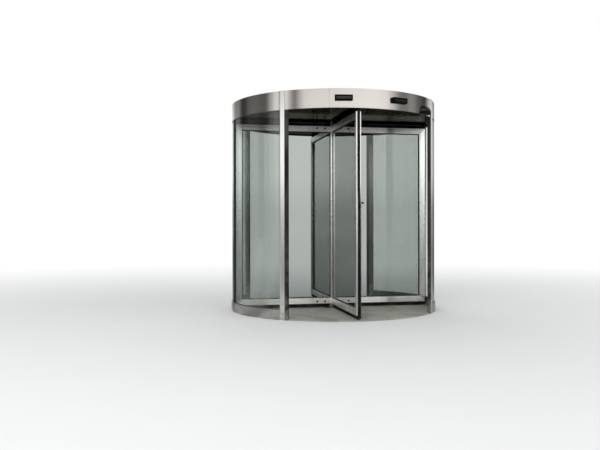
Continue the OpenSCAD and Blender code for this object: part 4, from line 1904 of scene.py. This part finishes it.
    def _clamps(self) -> None:
        """Plates with two socket bolts on both faces of each rail, next to the column."""
        x, up = self.clamp.plate().T[:, None, :]
        middle = self.edge + self.clamp.height / 2
        plates, bolts = [], []
        for n in WINGS:
            angle = DOOR.rest_angle + 90 * n
            for z in (self.low + middle, self.high - middle):
                for side, axis in ((-1, "-y"), (1, "y")):
                    face = side * (self.wing_t / 2 + self.clamp.thick)
                    y = np.array([side * self.wing_t / 2, face])[:, None]
                    plate = carry(np.stack((x + 0 * y, y + 0 * x, z + up + 0 * y), -1))
                    plates.append(plate.turned(angle))
                    for place in self.clamp.bolts:
                        bolts.append(lathe(SOCKET_BOLT, (place, face, z), axis, 24).turned(angle))
        self.shop.piece("hub_plates", Skin.join(plates), [self.finish.plate], Body.ROTOR, "wing_steel",
                        ("clamp_plates",), self.clamp.bevel)
        self.shop.piece("hub_plate_bolts", Skin.join(bolts), [self.finish.bolt], Body.ROTOR, "dark_metal")

    def _lock(self) -> None:
        """Lock plate, keyhole and thumb knob on the first wing's stile."""
        lock, x, face = self.lock, self.wing_r - self.rail_w / 2, self.wing_t / 2
        skins = [slab((x - lock.width / 2, face, lock.z - lock.below),
                      (x + lock.width / 2, face + lock.thick, lock.z + lock.above)),
                 lathe(THUMB_KNOB, (x, face + lock.thick, lock.z), "y", 28, 1),
                 lathe(KEYHOLE, (x, face + lock.thick, lock.z - lock.key_below), "y", 24, 1)]
        self.shop.piece("thumb_lock", Skin.join(skins).turned(DOOR.rest_angle),
                        [self.finish.plate, self.finish.lock], Body.ROTOR, "dark_metal",
                        ("wing_1_lock",), lock.bevel)


@dataclass(frozen=True)
class Lamp:
    """One large soft lamp, aimed at the door.

    Args:
        name: its name.
        place: where it stands.
        size: length of its square's side.
        power: its power in watts.
    """

    name: str
    place: Place
    size: float
    power: float


@dataclass
class Studio:
    """Camera, floor, world and lamps.

    Args:
        eye: the camera's place.
        yaw: its turn from +Y towards +X.
        pitch: its tilt upwards.
        roll: its turn about its own axis.
        focal_px: its focal length in pixels of the image.
        image_w: width of the image in pixels.
        sensor: width of the camera's sensor in millimetres.
        sight: how far the camera sees.
        floor_half: half the width of the floor.
        floor_z: height of the floor, a little under the door.
        floor_dark: colour of its darker patches.
        floor_light: colour of its lighter patches.
        white_from: distance from the door where the floor starts to turn white and where it is white.
        street_from: the same for the street that metal mirrors, which turns into the cards' feet.
        cards: bearing in degrees and light level of the cards round the studio.
        rise: upward share of a direction where the cards start to brighten and where they are full,
            and their share of light below that.
        overhang: upward share of a direction where the cards start to darken again and where that
            ends, and their share of light above that.
        shine: light level of the brightest card.
        street: bearing in degrees and light level of the floor as polished metal and glass mirror it.
        sky: colour of the light from all around.
        sky_level: strength of that light.
        lamps: the lamps.
        aim: the point that the lamps are turned to.
    """

    eye: Place = (-2.9291, -7.7916, 1.0174)
    yaw: float = 17.913
    pitch: float = -0.170
    roll: float = -0.086
    focal_px: float = 693.95
    image_w: int = 600
    sensor: float = 36.0
    sight: float = 900.0
    floor_half: float = 400.0
    floor_z: float = -0.0004
    floor_dark: Colour = (0.70, 0.70, 0.695)
    floor_light: Colour = (0.73, 0.73, 0.725)
    white_from: Pair = (1.8, 10.0)
    street_from: Pair = (8.0, 60.0)
    cards: Levels = (
        (-180, 0.55), (-160, 0.20), (-150, 0.23), (-146, 0.09), (-141, 0.03), (-134, 0.04),
        (-128, 0.11), (-118, 0.13), (-98, 0.09), (-91, 0.46), (-84, 0.90), (-79, 0.50),
        (-75, 0.64), (-72, 1.00), (-68, 0.50), (-62, 0.14), (-56, 0.55), (-51, 0.82),
        (-40, 0.88), (24, 1.0), (40, 0.92), (48, 0.60), (58, 0.22), (64, 0.18),
        (76, 0.27), (90, 0.10), (103, 0.03), (113, 0.44), (126, 0.42), (142, 0.18),
        (160, 0.50), (180, 0.55))
    rise: tuple[float, float, float] = (0.006, 0.078, 0.39)
    overhang: tuple[float, float, float] = (0.148, 0.176, 0.54)
    shine: float = 1.72
    street: Levels = (
        (-180, 0.16), (-155, 0.22), (-125, 0.14), (-104, 0.58), (-94, 0.44), (-84, 0.64),
        (-77, 0.34), (-71, 0.15), (-66, 0.36), (-61, 0.80), (-56, 0.45), (-50, 0.33),
        (100, 0.33), (125, 0.14), (180, 0.16))
    sky: Colour = (0.96, 0.98, 1.0)
    sky_level: float = 0.72
    lamps: tuple[Lamp, ...] = (
        Lamp("key", (-5.5, -7.0, 6.5), 5.0, 420.0),
        Lamp("fill", (7.0, -5.0, 4.5), 5.0, 160.0),
        Lamp("back", (2.0, 8.0, 6.5), 6.0, 260.0))
    aim: Place = (0.0, 0.0, 1.0)

    def build(self) -> None:
        """Builds the studio round the door."""
        self._camera()
        self._floor()
        self._world()
        for lamp in self.lamps:
            self._lamp(lamp)
        bpy.context.scene.view_settings.view_transform = "Standard"

    def _camera(self) -> None:
        """Camera at the photograph's place, aimed by yaw, pitch and roll."""
        data = bpy.data.cameras.new("photo camera")
        data.sensor_fit, data.sensor_width = "HORIZONTAL", self.sensor
        data.lens = self.focal_px / self.image_w * self.sensor
        data.clip_end = self.sight
        camera = bpy.data.objects.new("photo camera", data)
        bpy.context.scene.collection.objects.link(camera)
        yaw, pitch, roll = (math.radians(v) for v in (self.yaw, self.pitch, self.roll))
        ahead = Vector((math.sin(yaw) * math.cos(pitch), math.cos(yaw) * math.cos(pitch),
                        math.sin(pitch)))
        level = Vector((math.cos(yaw), -math.sin(yaw), 0.0))
        above = level.cross(ahead)
        right = level * math.cos(roll) + above * math.sin(roll)
        up = above * math.cos(roll) - level * math.sin(roll)
        turn_to = Matrix((right, up, -ahead)).transposed().to_4x4()
        camera.matrix_world = Matrix.Translation(self.eye) @ turn_to
        bpy.context.scene.camera = camera

    def _floor(self) -> None:
        """Large plain pale floor just under the door, which turns white in the distance."""
        mesh = bpy.data.meshes.new("studio floor")
        r, z = self.floor_half, self.floor_z
        mesh.from_pydata([(-r, -r, z), (r, -r, z), (r, r, z), (-r, r, z)], [], [(0, 1, 2, 3)])
        made, g, shader, out = new_material("studio floor")
        place = g.add("TexCoord").outputs["Object"]
        pale = g.mix(g.noise(place, 3.0, 4.0), rgb(self.floor_dark), rgb(self.floor_light))
        g.fill(shader, {"Base Color": pale, "Roughness": 0.85})
        away = g.add("VectorMath", {0: place}, operation="LENGTH").outputs["Value"]
        seen, mirrored = self._rays(g)
        white = g.add("Emission", {"Color": WHITE, "Strength": 1.0})
        feet = g.add("VectorMath", {0: self._ramp(g, place, self.cards),
                                    "Scale": self.shine * self.rise[2]}, operation="SCALE").outputs[0]
        ground = g.mix(g.remap(away, *self.street_from), self._ramp(g, place, self.street), feet)
        dim = g.add("Emission", {"Color": ground, "Strength": 1.0})
        whiter = g.math("MULTIPLY", g.remap(away, *self.white_from), seen)
        far = g.add("MixShader", {0: whiter, 1: shader.outputs[0], 2: white.outputs[0]})
        last = g.add("MixShader", {0: mirrored, 1: far.outputs[0], 2: dim.outputs[0]})
        g.fill(out, {"Surface": last.outputs[0]})
        mesh.materials.append(made)
        floor = bpy.data.objects.new("studio floor", mesh)
        bpy.context.scene.collection.objects.link(floor)

    def _world(self) -> None:
        """White surroundings. Polished metal sees light and dark cards all round in them.

        Formula: the cards' level depends on the direction's bearing, so they stand upright. It
        rises with the direction's height and falls again above it.
        """
        world = bpy.data.worlds.new("studio")
        world.use_nodes = True
        world.node_tree.nodes.clear()
        bpy.context.scene.world = world
        g = Graph(world.node_tree)
        direction = g.add("TexCoord").outputs["Generated"]
        start, full, least = self.rise
        low, high, rest = self.overhang
        height = g.add("SeparateXYZ", {0: direction}).outputs[2]
        level = g.math("MULTIPLY", g.remap(height, start, full, self.shine * least, self.shine),
                       g.remap(height, low, high, 1.0, rest))
        glossy = g.add("Background", {"Color": self._ramp(g, direction, self.cards),
                                      "Strength": level})
        soft = g.add("Background", {"Color": rgb(self.sky), "Strength": self.sky_level})
        white = g.add("Background", {"Color": WHITE, "Strength": 1.0})
        seen, mirrored = self._rays(g)
        first = g.add("MixShader", {0: seen, 1: soft.outputs[0], 2: white.outputs[0]})
        last = g.add("MixShader", {0: mirrored, 1: first.outputs[0], 2: glossy.outputs[0]})
        g.add("OutputWorld", {"Surface": last.outputs[0]})

    @staticmethod
    def _rays(g: Graph) -> tuple[Socket, Socket]:
        """Tells rays apart.

        Args:
            g: graph helper of the nodes.

        Returns:
            Whether the camera sees this, also through glass, and whether polished metal or glass
            mirrors it.
        """
        path = g.add("LightPath")
        through = path.outputs["Is Transmission Ray"]
        seen = g.math("MAXIMUM", path.outputs["Is Camera Ray"], through)
        bounced = g.math("MAXIMUM", path.outputs["Is Glossy Ray"], through)
        return seen, g.math("MULTIPLY", bounced, path.outputs["Glossy Depth"], True)

    @staticmethod
    def _ramp(g: Graph, place: Socket, levels: Levels) -> Socket:
        """Light level by bearing, which blends softly from each given bearing to the next.

        Formula: the bearing is the angle of (x, -y), and 0 to 1 along the ramp is a full turn.

        Args:
            g: graph helper of the nodes.
            place: place or direction whose bearing counts.
            levels: bearing in degrees and light level, at most 32 of them.

        Returns:
            The level as a grey.
        """
        split = g.add("SeparateXYZ", {0: place})
        bearing = g.math("ARCTAN2", split.outputs[0], g.math("MULTIPLY", split.outputs[1], -1.0))
        share = g.math("ADD", g.math("DIVIDE", bearing, 2 * math.pi), 0.5)
        made = g.add("ValToRGB", {0: share})
        ramp = made.color_ramp
        ramp.interpolation = "EASE"
        for angle, level in levels[1:-1]:
            ramp.elements.new(angle / 360 + 0.5).color = rgb((level,) * 3)
        for element, (angle, level) in ((ramp.elements[0], levels[0]),
                                        (ramp.elements[-1], levels[-1])):
            element.position, element.color = angle / 360 + 0.5, rgb((level,) * 3)
        return made.outputs[0]

    def _lamp(self, lamp: Lamp) -> None:
        """Sets up one soft lamp that metal doesn't mirror.

        Args:
            lamp: the lamp.
        """
        data = bpy.data.lights.new(lamp.name, "AREA")
        data.shape, data.size, data.energy = "SQUARE", lamp.size, lamp.power
        made = bpy.data.objects.new(lamp.name, data)
        made.location = lamp.place
        towards = Vector(self.aim) - Vector(lamp.place)
        made.rotation_euler = towards.to_track_quat("-Z", "Y").to_euler()
        made.visible_glossy = False
        bpy.context.scene.collection.objects.link(made)


def main() -> None:
    """Builds the studio, then the door from the floor up."""
    logging.basicConfig(level=logging.INFO, format="%(message)s")
    Studio().build()
    shop, finish = Workshop(), Finishes()
    for part in (FloorAndBearing, RoundWalls, Uprights, Canopy, Sensors, Rotor):
        part(shop, finish).build()
    log.info("%d pieces made", shop.count)


if __name__ == "__main__":
    main()
